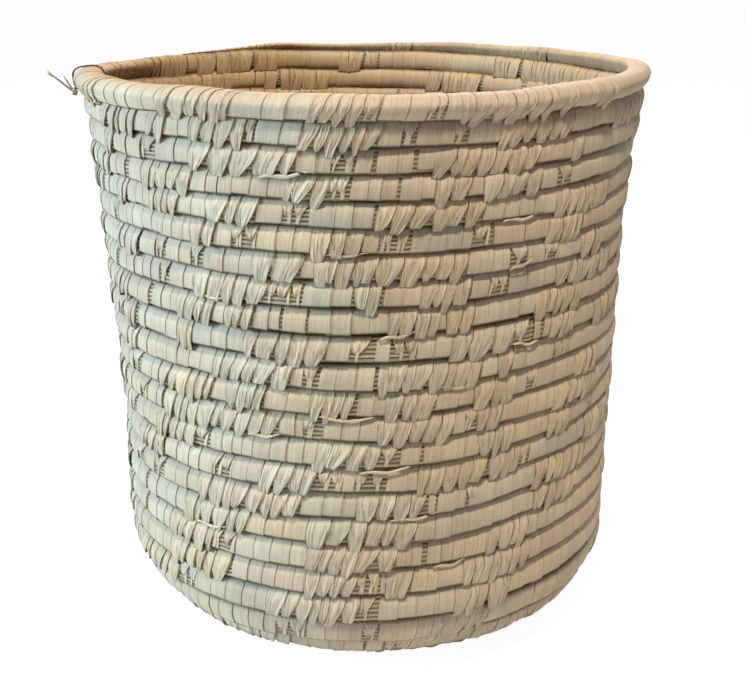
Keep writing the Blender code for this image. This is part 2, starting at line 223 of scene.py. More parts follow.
LOOSE_TAILS: tuple[LooseTail, ...] = (
    LooseTail(27, 252, 261, -1.50, -1.00, 2.6 * MM, Tone.PALE),
    LooseTail(17, 246, 253, -1.25, -1.05, 2.0 * MM, Tone.PALE),
    LooseTail(18, 260, 270, -1.20, -1.35, 1.8 * MM, Tone.GREIGE),
    LooseTail(18, 262, 272, -1.45, -1.15, 1.6 * MM, Tone.PALE),
    LooseTail(16, 269, 279, -1.45, -1.10, 2.2 * MM, Tone.GREIGE),
    LooseTail(14, 275, 285, -1.30, -0.95, 2.0 * MM, Tone.PALE),
    LooseTail(19, 284, 291, -1.15, -1.40, 2.0 * MM, Tone.PINK),
    LooseTail(21, 273, 280, -1.45, -0.95, 2.2 * MM, Tone.STRAW),
    LooseTail(25, 296, 304, -1.20, -1.05, 1.8 * MM, Tone.PALE),
    LooseTail(23, 298, 303, -1.10, -0.60, 2.4 * MM, Tone.STRAW),
    LooseTail(12, 284, 291, -1.30, -1.10, 1.8 * MM, Tone.GREIGE),
    LooseTail(24, 262, 271, -1.15, -1.00, 1.5 * MM, Tone.GREIGE),
    LooseTail(20, 300, 306, -0.90, -1.20, 2.0 * MM, Tone.PALE),
    LooseTail(13, 231, 240, -1.30, -1.05, 2.2 * MM, Tone.PALE),
    LooseTail(22, 236, 244, -1.25, -1.05, 1.8 * MM, Tone.GREY),
)
FILL_KINDS = (StripKind.WRAP, StripKind.STITCH, StripKind.TUCK, StripKind.SLIT)
FILL_SHARES = (0.40, 0.32, 0.14, 0.14)
FILL_RUNS: dict[StripKind, tuple[int, int, float]] = {
    StripKind.WRAP: (1, 4, 13 * MM),
    StripKind.STITCH: (2, 6, 11 * MM),
    StripKind.TUCK: (1, 2, 8.5 * MM),
    StripKind.SLIT: (1, 1, 2.1 * MM),
}


class Slot(Enum):
    """Material slots of the record."""

    LEAF = "leaf_binding"
    RIM = "rim_leaf"
    BASE = "base_leaf"
    STALK = "stalks"
    STRING = "tie_string"


@dataclass(frozen=True)
class CoilSizes:
    """Driving sizes of the coil, the same as in the solid model."""

    waist_radius: float = 196 * MM
    corner_radius: float = 65 * MM
    flare_start_height: float = 105 * MM
    flare_rise: float = 303 * MM
    flare_reach: float = 15 * MM
    mouth_lean: float = 5.8 * MM
    base_pitch: float = 21.2 * MM
    top_pitch: float = 16.4 * MM
    base_depth: float = 17.6 * MM
    top_depth: float = 15.7 * MM
    base_turns: int = 6
    wall_turns: int = 24
    rim_height: float = 16.4 * MM
    rim_depth: float = 19.2 * MM
    rim_overhang: float = 2.6 * MM
    rim_swell_length: float = 120 * MM
    rim_taper_length: float = 700 * MM
    rim_tip_height: float = 4.8 * MM
    rim_tip_depth: float = 9 * MM
    knot_radius: float = 10 * MM
    knot_height: float = 16 * MM
    start_turn: float = 0.25
    seam_angle: float = math.radians(140)
    tie_angle: float = math.radians(188)

    @property
    def turns(self) -> int:
        """Number of turns from the middle of the base to the end of the rim."""
        return self.base_turns + self.wall_turns

    @property
    def tie_turn(self) -> float:
        """Turn at which the string is tied round the rim."""
        return self.rim_turn + (self.tie_angle - self.seam_angle) / TAU

    @property
    def rim_turn(self) -> int:
        """Turn at which the rim course begins."""
        return self.turns - 1


def eased(value: Array | float) -> Array:
    """Ease values from 0 to 1 with level ends.

    Args:
        value: The values to ease, clipped to 0 and 1.

    Returns:
        The eased values.
    """
    clipped = np.clip(value, 0, 1)
    return clipped * clipped * (3 - 2 * clipped)


def waves(at: Array, table: Sequence[tuple[float, float, float]]) -> Array:
    """Add up sine waves.

    Args:
        at: Where to read the waves.
        table: Size, number of waves per unit and phase of each wave.

    Returns:
        The sum at each place.
    """
    total = np.zeros_like(at, dtype=float)
    for size, rate, phase in table:
        total += size * np.sin(rate * at + phase)
    return total


@dataclass(frozen=True)
class Ramp:
    """An eased climb from 0 to 1 that begins at a start and takes a length."""

    start: float
    length: float

    def at(self, value: Array) -> Array:
        """How far the climb has come at each value."""
        return eased((value - self.start) / self.length)


class Coil:
    """The coil's middle line with its section, sampled finely from the base to the rim."""

    SAMPLES_PER_TURN = 180
    OUTLINE_STEPS = 4000
    TANGENT_STEP = 0.5 * MM
    PAST_END = 0.02
    FRONT_CLIMB = 3.1 * MM
    FRONT_TURNS = Ramp(19, 3.5)
    FRONT_FROM = Ramp(140, 50)
    FRONT_UNTIL = Ramp(325, 75)
    SIDE_CLIMB_TURNS = (6.5, 10.0, 14.0, 25.0)
    SIDE_CLIMB = (0.0, 6.0 * MM, 6.5 * MM, 0.0)
    SIDE_FROM = Ramp(278, 34)
    SIDE_UNTIL = Ramp(345, 90)
    RIM_CLIMB_SHARE = 0.40
    RIM_CLIMB_GAIN = 0.35
    RIM_GAIN_FROM = Ramp(215, 50)
    RIM_ROUND_TURNS = 0.05
    RIM_UP = (-1.6, -1.0, -0.78, -0.50, -0.20, 0.10, 0.30, 0.46, 0.62, 0.80, 1.0)
    RIM_ROUNDING = (-0.50, -0.47, -0.36, -0.23, -0.10, -0.02, 0.08, 0.20, 0.22, 0.15, 0.0)
    END_TURNS = 0.09
    END_HEIGHT = 0.6 * MM
    END_DEPTH = 5.0 * MM
    SWAY_ROUND = ((1.1 * MM, 2, 1.3), (0.8 * MM, 3, -0.7), (0.5 * MM, 5, 2.0))
    SWAY_UP = ((0.9 * MM, 2, 0.4), (0.7 * MM, 3, 2.6), (0.4 * MM, 6, 1.1))
    SWAY_TWIST = 2.5
    SWAY_TOP = 1.1
    PLUMP = ((0.35 * MM, 23.1, 0.3), (0.30 * MM, 37.7, 1.9), (0.25 * MM, 61.3, 4.0))
    ROLL = ((0.40 * MM, 31.7, 0.9), (0.35 * MM, 57.3, 2.2), (0.25 * MM, 97.1, 5.1))

    def __init__(self, sizes: CoilSizes) -> None:
        """Sample the coil.

        Args:
            sizes: The driving sizes.
        """
        self.sizes = sizes
        self._outline = self._outline_centre()
        last = sizes.turns + self.PAST_END
        count = int((last - sizes.start_turn) * self.SAMPLES_PER_TURN)
        self.turn = np.linspace(sizes.start_turn, last, count)
        self._measure()

    def _outline_centre(self) -> tuple[Array, Array, Array]:
        """Draw the middle line of the base and wall, from the axis to above the rim.

        Returns:
            Its radius, its height and the length run along it.
        """
        z = self.sizes
        half_depth = z.base_depth / 2
        flat_end = z.waist_radius - z.corner_radius
        bend = z.corner_radius - half_depth
        flat = np.linspace(0, flat_end, self.OUTLINE_STEPS)
        turn = np.linspace(0, math.pi / 2, self.OUTLINE_STEPS)[1:]
        top = z.flare_start_height + 2 * z.flare_rise
        rise = np.linspace(z.corner_radius, top, 2 * self.OUTLINE_STEPS)[1:]
        opened = np.clip((rise - z.flare_start_height) / z.flare_rise, 0, None)
        wall = z.waist_radius - half_depth + z.flare_reach * opened**2
        radius = np.concatenate([flat, flat_end + bend * np.sin(turn), wall])
        height = np.concatenate(
            [np.full_like(flat, half_depth), z.corner_radius - bend * np.cos(turn), rise]
        )
        steps = np.hypot(np.diff(radius), np.diff(height))
        return radius, height, np.concatenate([[0], np.cumsum(steps)])

    def _outline_at(self, run: Array) -> Array:
        """Radius and height of the outline at lengths run along it."""
        radius, height, length = self._outline
        return np.stack([np.interp(run, length, radius), np.interp(run, length, height)])

    def _progress(self, turn: Array) -> Array:
        """Share of the wall's climb reached at each turn."""
        z = self.sizes
        return np.clip((turn - z.base_turns) / (z.rim_turn - z.base_turns), 0, 1)

    def plain_run(self, turn: Array) -> Array:
        """Find how far along the outline the turns lie, before the rim swells.

        Args:
            turn: The turns.

        Returns:
            The length run to each of them.
        """
        z = self.sizes
        span = z.rim_turn - z.base_turns
        climbed = np.clip(turn - z.base_turns, 0, span)
        thinning = (z.base_pitch - z.top_pitch) / span
        over = np.clip(turn - z.rim_turn, 0, None)
        base = z.base_pitch * np.minimum(turn, z.base_turns)
        return base + z.base_pitch * climbed - thinning * climbed**2 / 2 + z.top_pitch * over

    def _section_sizes(self) -> tuple[Array, Array, Array]:
        """Work out the section, which thins up the wall, swells at the rim and ends thin.

        Returns:
            Its height, its depth and how far it hangs outwards, at every sample.
        """
        z = self.sizes
        turn = self.turn
        progress = self._progress(turn)
        height = z.base_pitch + (z.top_pitch - z.base_pitch) * progress
        depth = z.base_depth + (z.top_depth - z.base_depth) * progress
        round_rim = TAU * self._outline_at(self.plain_run(np.array([z.rim_turn])))[0][0]
        swell = eased((turn - z.rim_turn) / (z.rim_swell_length / round_rim))
        tip = eased((turn - z.turns) / (z.rim_taper_length / round_rim) + 1)
        height = height + (z.rim_height - height) * swell
        height = height + (z.rim_tip_height - height) * tip
        depth = depth + (z.rim_depth - depth) * swell
        depth = depth + (z.rim_tip_depth - depth) * tip
        closing = eased((z.turns - turn) / self.END_TURNS)
        on_rim = turn > z.rim_turn
        height = np.where(on_rim, self.END_HEIGHT + (height - self.END_HEIGHT) * closing, height)
        depth = np.where(on_rim, self.END_DEPTH + (depth - self.END_DEPTH) * closing, depth)
        return height, depth, z.rim_overhang * swell * (1 - tip)

    def _seat_rim(self, run: Array, height: Array) -> None:
        """Set the rim on the course below it.

        Args:
            run: Length run to the section's middle at every sample, changed in place.
            height: The section's height there.
        """
        z = self.sizes
        on_rim = self.turn > z.rim_turn
        below = self.turn[on_rim] - 1
        below_height = z.top_pitch + (z.base_pitch - z.top_pitch) * (1 - self._progress(below))
        run[on_rim] = self.plain_run(below) + (below_height + height[on_rim]) / 2

    def _start_at_knot(self, run: Array, height: Array) -> None:
        """Let the first course grow out of the start knot.

        Args:
            run: Length run to the section's middle at every sample, changed in place.
            height: The section's height there, changed in place.
        """
        z = self.sizes
        first = self.turn < (z.knot_radius + z.base_pitch / 2) / z.base_pitch
        outer = run[first] + z.base_pitch / 2
        height[first] = outer - z.knot_radius
        run[first] = (outer + z.knot_radius) / 2

    def _measure(self) -> None:
        """Work out the section's size, middle and direction at every sample."""
        height, depth, overhang = self._section_sizes()
        run = self.plain_run(self.turn)
        self._seat_rim(run, height)
        self._start_at_knot(run, height)
        rise = self._outline_at(run + self.TANGENT_STEP) - self._outline_at(run - self.TANGENT_STEP)
        self.tangent = rise / np.linalg.norm(rise, axis=0)
        outward = np.stack([self.tangent[1], -self.tangent[0]])
        self.middle = self._outline_at(run) + overhang * outward
        self.half_height = height / 2
        self.half_depth = depth / 2
        steps = np.diff(self.turn) * TAU * (self.middle[0][1:] + self.middle[0][:-1]) / 2
        self.length = np.concatenate([[0], np.cumsum(steps)])

    def turn_at(self, length: Array) -> Array:
        """Turn at a length of coil measured from its start."""
        return np.interp(length, self.length, self.turn)

    def length_at(self, turn: Array | float) -> Array:
        """Length of coil from its start to a turn."""
        return np.interp(turn, self.turn, self.length)

    def turn_at_bearing(self, turn: int, bearing: Array | float) -> Array | float:
        """Place in turns at a bearing in degrees, on a turn counted from the seam."""
        return turn + (bearing - math.degrees(self.sizes.seam_angle)) / 360

    def half_sizes(self, turn: Array) -> tuple[Array, Array]:
        """Measure the section, with its hand-made plumpness.

        Args:
            turn: The turns to measure it at.

        Returns:
            Half its height and half its depth.
        """
        plump = waves(turn, self.PLUMP)
        height = np.interp(turn, self.turn, self.half_height)
        depth = np.interp(turn, self.turn, self.half_depth)
        return height, depth + plump * np.minimum(1, depth / (self.sizes.top_depth / 2))

    def _climb(self, turn: Array, up: Array) -> Array:
        """Find how far the courses lie above their even places, at the front and the right.

        Args:
            turn: Turn of each point.
            up: Distance up the wall from the middle line.

        Returns:
            The climb at each point. On the rim it moves the lower side more than the top.
        """
        z = self.sizes
        bearing = math.degrees(z.seam_angle) + 360 * np.mod(turn, 1)
        ahead = self.FRONT_FROM.at(bearing) * (1 - self.FRONT_UNTIL.at(bearing))
        aside = self.SIDE_FROM.at(bearing) * (1 - self.SIDE_UNTIL.at(bearing))
        half_height = np.interp(turn, self.turn, self.half_height)
        lower = np.clip(0.5 - up / (2 * half_height), 0, 1)
        rim = lower * (self.RIM_CLIMB_SHARE + self.RIM_CLIMB_GAIN * self.RIM_GAIN_FROM.at(bearing))
        front = self.FRONT_CLIMB * self.FRONT_TURNS.at(turn) * np.where(turn > z.rim_turn, rim, 1.0)
        return front * ahead + np.interp(turn, self.SIDE_CLIMB_TURNS, self.SIDE_CLIMB) * aside

    def rounding(self, turn: Array, up_share: Array) -> Array:
        """Find the factor on the depth that makes the rim rounder than the wall.

        Args:
            turn: Turn of each point.
            up_share: Its height in the section, from -1 at the bottom to 1 at the top.

        Returns:
            The factor at each point.
        """
        on_rim = eased((turn - self.sizes.rim_turn) / self.RIM_ROUND_TURNS)
        return 1 + on_rim * np.interp(up_share, self.RIM_UP, self.RIM_ROUNDING)

    def place(self, turn: Array, up: Array, out: Array) -> Array:
        """World points at distances up the wall and out of it from the middle line.

        Args:
            turn: Turn of each point.
            up: Distance along the wall, towards the rim.
            out: Distance out of the wall, away from the inside.

        Returns:
            An array of points with x, y and z along its last axis.
        """
        z = self.sizes
        up = up + waves(turn, self.ROLL) + self._climb(turn, up)
        radius, level, across, rise = (
            np.interp(turn, self.turn, row) for row in (*self.middle, *self.tangent))
        radius = radius + up * across + out * rise
        level = level + up * rise - out * across
        angle = z.seam_angle + TAU * turn
        full = z.flare_start_height + z.flare_rise
        share = np.clip(level / full, 0, self.SWAY_TOP)
        radius = radius + eased(share * 2) * waves(angle + self.SWAY_TWIST * share, self.SWAY_ROUND)
        x = radius * np.cos(angle) - z.mouth_lean * level / full
        y = radius * np.sin(angle)
        return np.stack([x, y, level + share**2 * waves(angle, self.SWAY_UP)], axis=-1)


class MeshParts:
    """Collects grids of points into one mesh with uv coordinates and a tint."""

    def __init__(self) -> None:
        """Start with nothing."""
        self._points: list[Array] = []
        self._faces: list[Array] = []
        self._uvs: list[Array] = []
        self._tints: list[Array] = []
        self._count = 0

    def add_grids(self, points: Array, uv: Array, tint: Array) -> None:
        """Add a stack of grids.

        Args:
            points: Grids of points, of shape grids, columns, rows, 3.
            uv: Grids of texture places, of shape grids, columns, rows, 2.
            tint: Tints that fit the shape grids, columns, rows, 4.
        """
        grids, columns, rows = points.shape[:3]
        index = np.arange(columns * rows).reshape(columns, rows)
        quads = np.stack(
            [index[:-1, :-1], index[1:, :-1], index[1:, 1:], index[:-1, 1:]], axis=-1
        ).reshape(-1, 4)
        offsets = self._count + np.arange(grids) * columns * rows
        self._faces.append((quads[None] + offsets[:, None, None]).reshape(-1, 4))
        self._points.append(points.reshape(-1, 3))
        self._uvs.append(np.broadcast_to(uv, (grids, columns, rows, 2)).reshape(-1, 2))
        self._tints.append(np.broadcast_to(tint, (grids, columns, rows, 4)).reshape(-1, 4))
        self._count += grids * columns * rows

    def build(self, name: str, finish: Material) -> Piece:
        """Make the object.

        Args:
            name: Name of the object.
            finish: Its material.

        Returns:
            The object, linked to the scene.
        """
        points = np.concatenate(self._points)
        faces = np.concatenate(self._faces)
        uvs = np.concatenate(self._uvs)
        tints = np.concatenate(self._tints)
        points[:, 2] = np.maximum(points[:, 2], 0)
        mesh = bpy.data.meshes.new(name)
        mesh.vertices.add(len(points))
        mesh.vertices.foreach_set("co", points.astype(np.float32).ravel())
        mesh.loops.add(faces.size)
        mesh.loops.foreach_set("vertex_index", faces.astype(np.int32).ravel())
        mesh.polygons.add(len(faces))
        mesh.polygons.foreach_set("loop_start", np.arange(0, faces.size, 4, dtype=np.int32))
        mesh.update(calc_edges=True)
        layer = mesh.uv_layers.new(name="UVMap")
        layer.uv.foreach_set("vector", uvs[faces.ravel()].astype(np.float32).ravel())
        tint = mesh.color_attributes.new("tint", "FLOAT_COLOR", "POINT")
        tint.data.foreach_set("color", tints.astype(np.float32).ravel())
        mesh.validate()
        mesh.shade_smooth()
        mesh.materials.append(finish)
        made = bpy.data.objects.new(name, mesh)
        bpy.context.collection.objects.link(made)
        return made


class NodeBuilder:
    """Short calls for adding and linking shader nodes in one tree."""

    def __init__(self, tree: bpy.types.NodeTree) -> None:
        """Work on a tree.

        Args:
            tree: The node tree to add to.
        """
        self.tree = tree

    def add(self, kind: str, **settings: object) -> bpy.types.Node:
        """Add a node and set its properties.

        Args:
            kind: The node's type name.
            **settings: Properties to set on it.

        Returns:
            The node.
        """
        node = self.tree.nodes.new(kind)
        for key, value in settings.items():
            setattr(node, key, value)
        return node

    def link(self, source: Socket, target: Socket) -> None:
        """Link one socket to another."""
        self.tree.links.new(source, target)

    def math(self, operation: str, first: object, second: object = 0.0) -> Socket:
        """Add a maths node.

        Args:
            operation: What it does.
            first: A socket or a number.
            second: A socket or a number.

        Returns:
            Its output.
        """
        node = self.add("ShaderNodeMath", operation=operation)
        for socket, value in zip(node.inputs, (first, second)):
            if isinstance(value, Socket):
                self.link(value, socket)
            else:
                socket.default_value = value
        return node.outputs[0]

    def mix(self, factor: object, first: object, second: object, blend: str = "MIX") -> Socket:
        """Mix two colours.

        Args:
            factor: A socket or a number from 0 to 1.
            first: A socket or a colour.
            second: A socket or a colour.
            blend: How they are mixed.

        Returns:
            The mixed colour.
        """
        node = self.add("ShaderNodeMix", data_type="RGBA", blend_type=blend)
        for socket, value in zip((node.inputs[0], node.inputs[6], node.inputs[7]),
                                 (factor, first, second)):
            if isinstance(value, Socket):
                self.link(value, socket)
            elif isinstance(value, tuple):
                socket.default_value = (*value, 1)
            else:
                socket.default_value = value
        return node.outputs[2]

    def ramp(self, factor: Socket, stops: Sequence[tuple[float, Colour]]) -> Socket:
        """Read a colour ramp.

        Args:
            factor: Where to read it.
            stops: Place and colour of each stop.

        Returns:
            The colour.
        """
        node = self.add("ShaderNodeValToRGB")
        elements = node.color_ramp.elements
        while len(elements) < len(stops):
            elements.new(0.5)
        for element, (place, colour) in zip(elements, stops):
            element.position = place
            element.color = (*colour, 1)
        self.link(factor, node.inputs[0])
        return node.outputs[0]

    def remap(self, value: Socket, low: float, high: float, to_low: float = 0.0,
              to_high: float = 1.0) -> Socket:
        """Map a value from one range to another, clamped.

        Args:
            value: The value.
            low: Start of its range.
            high: End of its range.
            to_low: What the start becomes.
            to_high: What the end becomes.

        Returns:
            The mapped value.
        """
        node = self.add("ShaderNodeMapRange")
        self.link(value, node.inputs[0])
        for socket, number in zip(node.inputs[1:5], (low, high, to_low, to_high)):
            socket.default_value = number
        return node.outputs[0]

    def scaled(self, colour: Socket, value: Socket) -> Socket:
        """Make a colour lighter or darker.

        Args:
            colour: The colour.
            value: What it is multiplied by.

        Returns:
            The new colour.
        """
        grey = self.add("ShaderNodeCombineColor")
        for socket in grey.inputs[:3]:
            self.link(value, socket)
        return self.mix(1.0, colour, grey.outputs[0], "MULTIPLY")

    def mix_shaders(self, share: Socket, first: Socket, second: Socket) -> Socket:
        """Mix two shaders.

        Args:
            share: Share of the second, from 0 to 1.
            first: One shader.
            second: The other.

        Returns:
            The mixed shader.
        """
        node = self.add("ShaderNodeMixShader")
        for source, target in zip((share, first, second), node.inputs):
            self.link(source, target)
        return node.outputs[0]


def new_group(name: str, inputs: Iterable[tuple[str, str, object]],
              outputs: Iterable[tuple[str, str]]) -> tuple[bpy.types.NodeTree, NodeBuilder]:
    """Start a shader node group.

    Args:
        name: Name of the group.
        inputs: Name, socket type and default of each input.
        outputs: Name and socket type of each output.

    Returns:
        The group's tree and a builder that works on it.
    """
    tree = bpy.data.node_groups.new(name, "ShaderNodeTree")
    for label, kind, default in inputs:
        socket = tree.interface.new_socket(label, in_out="INPUT", socket_type=kind)
        if default is not None:
            socket.default_value = default
    for label, kind in outputs:
        tree.interface.new_socket(label, in_out="OUTPUT", socket_type=kind)
    return tree, NodeBuilder(tree)


class Effects:
    """Node groups that the finishes share."""

    def __init__(self) -> None:
        """Build each group once."""
        self.fibre = self._fibre()
        self.mottle = self._mottle()

    @staticmethod
    def _fibre() -> bpy.types.NodeTree:
        """Build fine parallel fibres that run along the texture's second direction.

        Returns:
            The group.
        """
        number = "NodeSocketFloat"
        tree, build = new_group(
            "FibreGrain",
            [("Place", "NodeSocketVector", None), ("Across", number, 1400.0),
             ("Along", number, 40.0), ("Coarse", number, 0.4)],
            [("Streak", number), ("Height", number)],
        )
        source = build.add("NodeGroupInput")
        sink = build.add("NodeGroupOutput")
        split = build.add("ShaderNodeSeparateXYZ")
        build.link(source.outputs["Place"], split.inputs[0])
        results = []
        for share in (1.0, 0.31):
            join = build.add("ShaderNodeCombineXYZ")
            for axis, rate in enumerate(("Across", "Along")):
                scaled = build.math("MULTIPLY", split.outputs[axis], source.outputs[rate])
                build.link(build.math("MULTIPLY", scaled, share), join.inputs[axis])
            noise = build.add("ShaderNodeTexNoise", noise_dimensions="2D")
            noise.inputs["Scale"].default_value = 1.0
            noise.inputs["Detail"].default_value = 2.0
            build.link(join.outputs[0], noise.inputs["Vector"])
            results.append(noise.outputs[0])
        rest = build.math("SUBTRACT", 1.0, source.outputs["Coarse"])
        fine = build.math("MULTIPLY", results[0], rest)
        broad = build.math("MULTIPLY", results[1], source.outputs["Coarse"])
        streak = build.math("ADD", fine, broad)
        build.link(build.remap(streak, 0.3, 0.7), sink.inputs["Streak"])
        build.link(streak, sink.inputs["Height"])
        return tree

    @staticmethod
    def _mottle() -> bpy.types.NodeTree:
        """Build soft patches of age and dust over the whole object.

        Returns:
            The group.
        """
        number = "NodeSocketFloat"
        tree, build = new_group(
            "AgeMottle",
            [("Size", number, 14.0), ("Contrast", number, 0.5)],
            [("Patch", number)],
        )
        source = build.add("NodeGroupInput")
        sink = build.add("NodeGroupOutput")
        place = build.add("ShaderNodeTexCoord")
        noise = build.add("ShaderNodeTexNoise")
        noise.inputs["Detail"].default_value = 3.0
        build.link(place.outputs["Object"], noise.inputs["Vector"])
        build.link(source.outputs["Size"], noise.inputs["Scale"])
        centred = build.math("SUBTRACT", noise.outputs[0], 0.5)
        spread = build.math("MULTIPLY", centred, source.outputs["Contrast"])
        build.link(build.math("ADD", spread, 0.5), sink.inputs["Patch"])
        return tree


@dataclass(frozen=True)
class FibreFinish:
    """What the finishes share: dry plant fibre whose colour follows the mesh's tint."""

    name: str
    fibres_across: float = 1400.0
    fibres_along: float = 40.0
    smoothest: float = 0.54
    roughest: float = 0.74
    shine: float = 0.5
    grain_strength: float = 1.0
    grain_depth: float = 0.40 * MM

    def colour(self, build: NodeBuilder, tint: Sequence[Socket], streak: Socket,
               effects: Effects) -> Socket:
        """Work out the surface colour. Each finish has its own way.

        Args:
            build: Builder of the material's tree.
            tint: Red, green, blue and alpha of the mesh's tint.
            streak: Light and dark fibres, from 0 to 1.
            effects: The shared node groups.

        Returns:
            The colour.
        """
        raise NotImplementedError

    def build(self, effects: Effects) -> Material:
        """Make the material.

        Args:
            effects: The shared node groups.

        Returns:
            The material.
        """
        made = bpy.data.materials.new(self.name)
        made.use_nodes = True
        build = NodeBuilder(made.node_tree)
        shader = made.node_tree.nodes["Principled BSDF"]
        attribute = build.add("ShaderNodeAttribute", attribute_name="tint")
        split = build.add("ShaderNodeSeparateColor")
        build.link(attribute.outputs["Color"], split.inputs[0])
        uv = build.add("ShaderNodeUVMap", uv_map="UVMap")
        fibre = build.add("ShaderNodeGroup", node_tree=effects.fibre)
        fibre.inputs["Across"].default_value = self.fibres_across
        fibre.inputs["Along"].default_value = self.fibres_along
        build.link(uv.outputs[0], fibre.inputs["Place"])
        streak = fibre.outputs["Streak"]
        tint = (*split.outputs[:3], attribute.outputs["Alpha"])
        build.link(self.colour(build, tint, streak, effects), shader.inputs["Base Color"])
        rough = build.remap(streak, 0.0, 1.0, self.smoothest, self.roughest)
        build.link(rough, shader.inputs["Roughness"])
        shader.inputs["Specular IOR Level"].default_value = self.shine
        bump = build.add("ShaderNodeBump")
        bump.inputs["Strength"].default_value = self.grain_strength
        bump.inputs["Distance"].default_value = self.grain_depth
        build.link(fibre.outputs["Height"], bump.inputs["Height"])
        build.link(bump.outputs[0], shader.inputs["Normal"])
        return made


@dataclass(frozen=True)
class LeafFinish(FibreFinish):
    """Dry split leaf: matte to slightly satin, with fine fibres along each strip.

    The tint holds the tone, the lightness (with painted light and shade on the pleats), the
    painted shade of grooves, seams and creases, and in its alpha whether the strip lies
    outside, for the inside of the basket is coloured warmer.
    """

    name: str = "bound_leaf"
    shine: float = 0.35
    tones: tuple[tuple[float, Colour], ...] = (
        (0.00, (0.340, 0.290, 0.212)),
        (0.30, (0.385, 0.322, 0.230)),
        (0.50, (0.360, 0.292, 0.202)),
        (0.68, (0.372, 0.288, 0.205)),
        (0.95, (0.392, 0.308, 0.193)),
    )
    # The dark brown of the painted shade in grooves, seams and creases.
    groove_shade: Colour = (0.17, 0.12, 0.08)
    inside: Colour = (1.05, 0.87, 0.68)
    strip_light: tuple[float, float] = (0.80, 1.16)
    fibre_light: tuple[float, float] = (0.80, 1.13)
    patch_light: tuple[float, float] = (0.88, 1.10)
    patch_range: tuple[float, float] = (0.2, 0.8)
    patches: float = 22.0
    patch_contrast: float = 1.2

    def colour(self, build: NodeBuilder, tint: Sequence[Socket], streak: Socket,
               effects: Effects) -> Socket:
        """Work out the leaf's colour.

        Args:
            build: Builder of the material's tree.
            tint: Tone, lightness, painted shade and outer side.
            streak: Light and dark fibres, from 0 to 1.
            effects: The shared node groups.

        Returns:
            The colour.
        """
        tone, lightness, painted_shade, outer = tint
        mottle = build.add("ShaderNodeGroup", node_tree=effects.mottle)
        mottle.inputs["Size"].default_value = self.patches
        mottle.inputs["Contrast"].default_value = self.patch_contrast
        light = build.remap(lightness, 0.0, 1.0, *self.strip_light)
        fibres = build.remap(streak, 0.0, 1.0, *self.fibre_light)
        patch = build.remap(mottle.outputs["Patch"], *self.patch_range, *self.patch_light)
        value = build.math("MULTIPLY", build.math("MULTIPLY", light, fibres), patch)
        colour = build.scaled(build.ramp(tone, self.tones), value)
        warm = build.mix(1.0, colour, self.inside, "MULTIPLY")
        colour = build.mix(outer, warm, colour)
        # Painted shade: mix the colour towards the dark brown where the tint's third channel is
        # high.
        return build.mix(painted_shade, colour, build.mix(1.0, colour, self.groove_shade, "MULTIPLY"))


@dataclass(frozen=True)
class StalkFinish(FibreFinish):
    """Dark brown stalks of the bundle, with paler crowns and painted near-black shade in the gaps
    between them.
    """

    name: str = "stalk_bundle"
    fibres_across: float = 900.0
    fibres_along: float = 25.0
    smoothest: float = 0.7
    roughest: float = 0.9
    grain_strength: float = 0.5
    grain_depth: float = 0.3 * MM
    # Near-black of the painted shade between the stalks.
    gap: Colour = (0.040, 0.026, 0.015)
    crown: Colour = (0.31, 0.245, 0.155)
    fibre_light: tuple[float, float] = (0.55, 1.25)

    def colour(self, build: NodeBuilder, tint: Sequence[Socket], streak: Socket,
               effects: Effects) -> Socket:
        """Work out the stalks' colour.

        Args:
            build: Builder of the material's tree.
            tint: Its red is the height of the stalk's crown.
            streak: Light and dark fibres, from 0 to 1.
            effects: The shared node groups.

        Returns:
            The colour.
        """
        # Painted shade: the colour runs from the crowns to near-black in the gaps between stalks.
        crown = build.mix(tint[0], self.gap, self.crown)
        return build.scaled(crown, build.remap(streak, 0.0, 1.0, *self.fibre_light))


@dataclass(frozen=True)
class StringFinish(FibreFinish):
    """Twisted plant string of the rim tie, dark round the rim and straw at its tails."""

    name: str = "tie_string"
    fibres_across: float = 2600.0
    fibres_along: float = 300.0
    smoothest: float = 0.75
    roughest: float = 0.95
    grain_strength: float = 0.6
    grain_depth: float = 0.2 * MM
    dark: Colour = (0.045, 0.028, 0.016)
    pale: Colour = (0.17, 0.12, 0.06)
    straw: Colour = (0.42, 0.36, 0.16)

    def colour(self, build: NodeBuilder, tint: Sequence[Socket], streak: Socket,
               effects: Effects) -> Socket:
        """Work out the string's colour.

        Args:
            build: Builder of the material's tree.
            tint: Its green is the lightness of the string.
            streak: Light and dark fibres, from 0 to 1.
            effects: The shared node groups.

        Returns:
            The colour.
        """
        light = tint[1]
        return build.mix(streak, build.mix(light, self.dark, self.pale),
                         build.mix(light, self.pale, self.straw))


Path = tuple[tuple[float, float], ...]
Span = tuple[float, float]
SECTION_SHARES: Path = (
    (1.00, 0.00), (0.99, 0.25), (0.93, 0.44), (0.80, 0.58), (0.62, 0.67), (0.46, 0.76),
    (0.30, 0.885), (0.10, 0.955), (-0.20, 1.00), (-0.50, 1.01), (-0.78, 1.00), (-0.93, 0.95),
    (-1.00, 0.82), (-1.00, 0.45), (-0.98, 0.10),
)
STITCH_FACE_SHARES = SECTION_SHARES[:11]
TUCK_SHARES: Path = (
    *SECTION_SHARES[:7], (0.10, 0.95), (-0.08, 0.95), (-0.25, 0.90), (-0.36, 0.80), (-0.42, 0.60),
)
INNER_FACE_SHARES: Path = (
    (0.96, 0.60), (0.72, 0.84), (0.38, 0.98), (0.05, 1.00), (-0.28, 0.97), (-0.58, 0.88),
    (-0.85, 0.70), (-1.00, 0.45), (-0.98, 0.10),
)
INNER_STITCH_SHARES: Path = (
    (0.96, 0.60), (0.72, 0.84), (0.38, 0.98), (0.05, 1.00), (-0.40, 0.98), (-0.80, 0.93),
    (-1.10, 0.88), (-1.26, 0.82), (-1.32, 0.66),
)


def face_depth(up_share: Array | float) -> Array:
    """Depth of the outer face, as a share, at heights in the section from -1 to 1."""
    heights, depths = zip(*SECTION_SHARES[::-1])
    return np.interp(up_share, heights, depths)


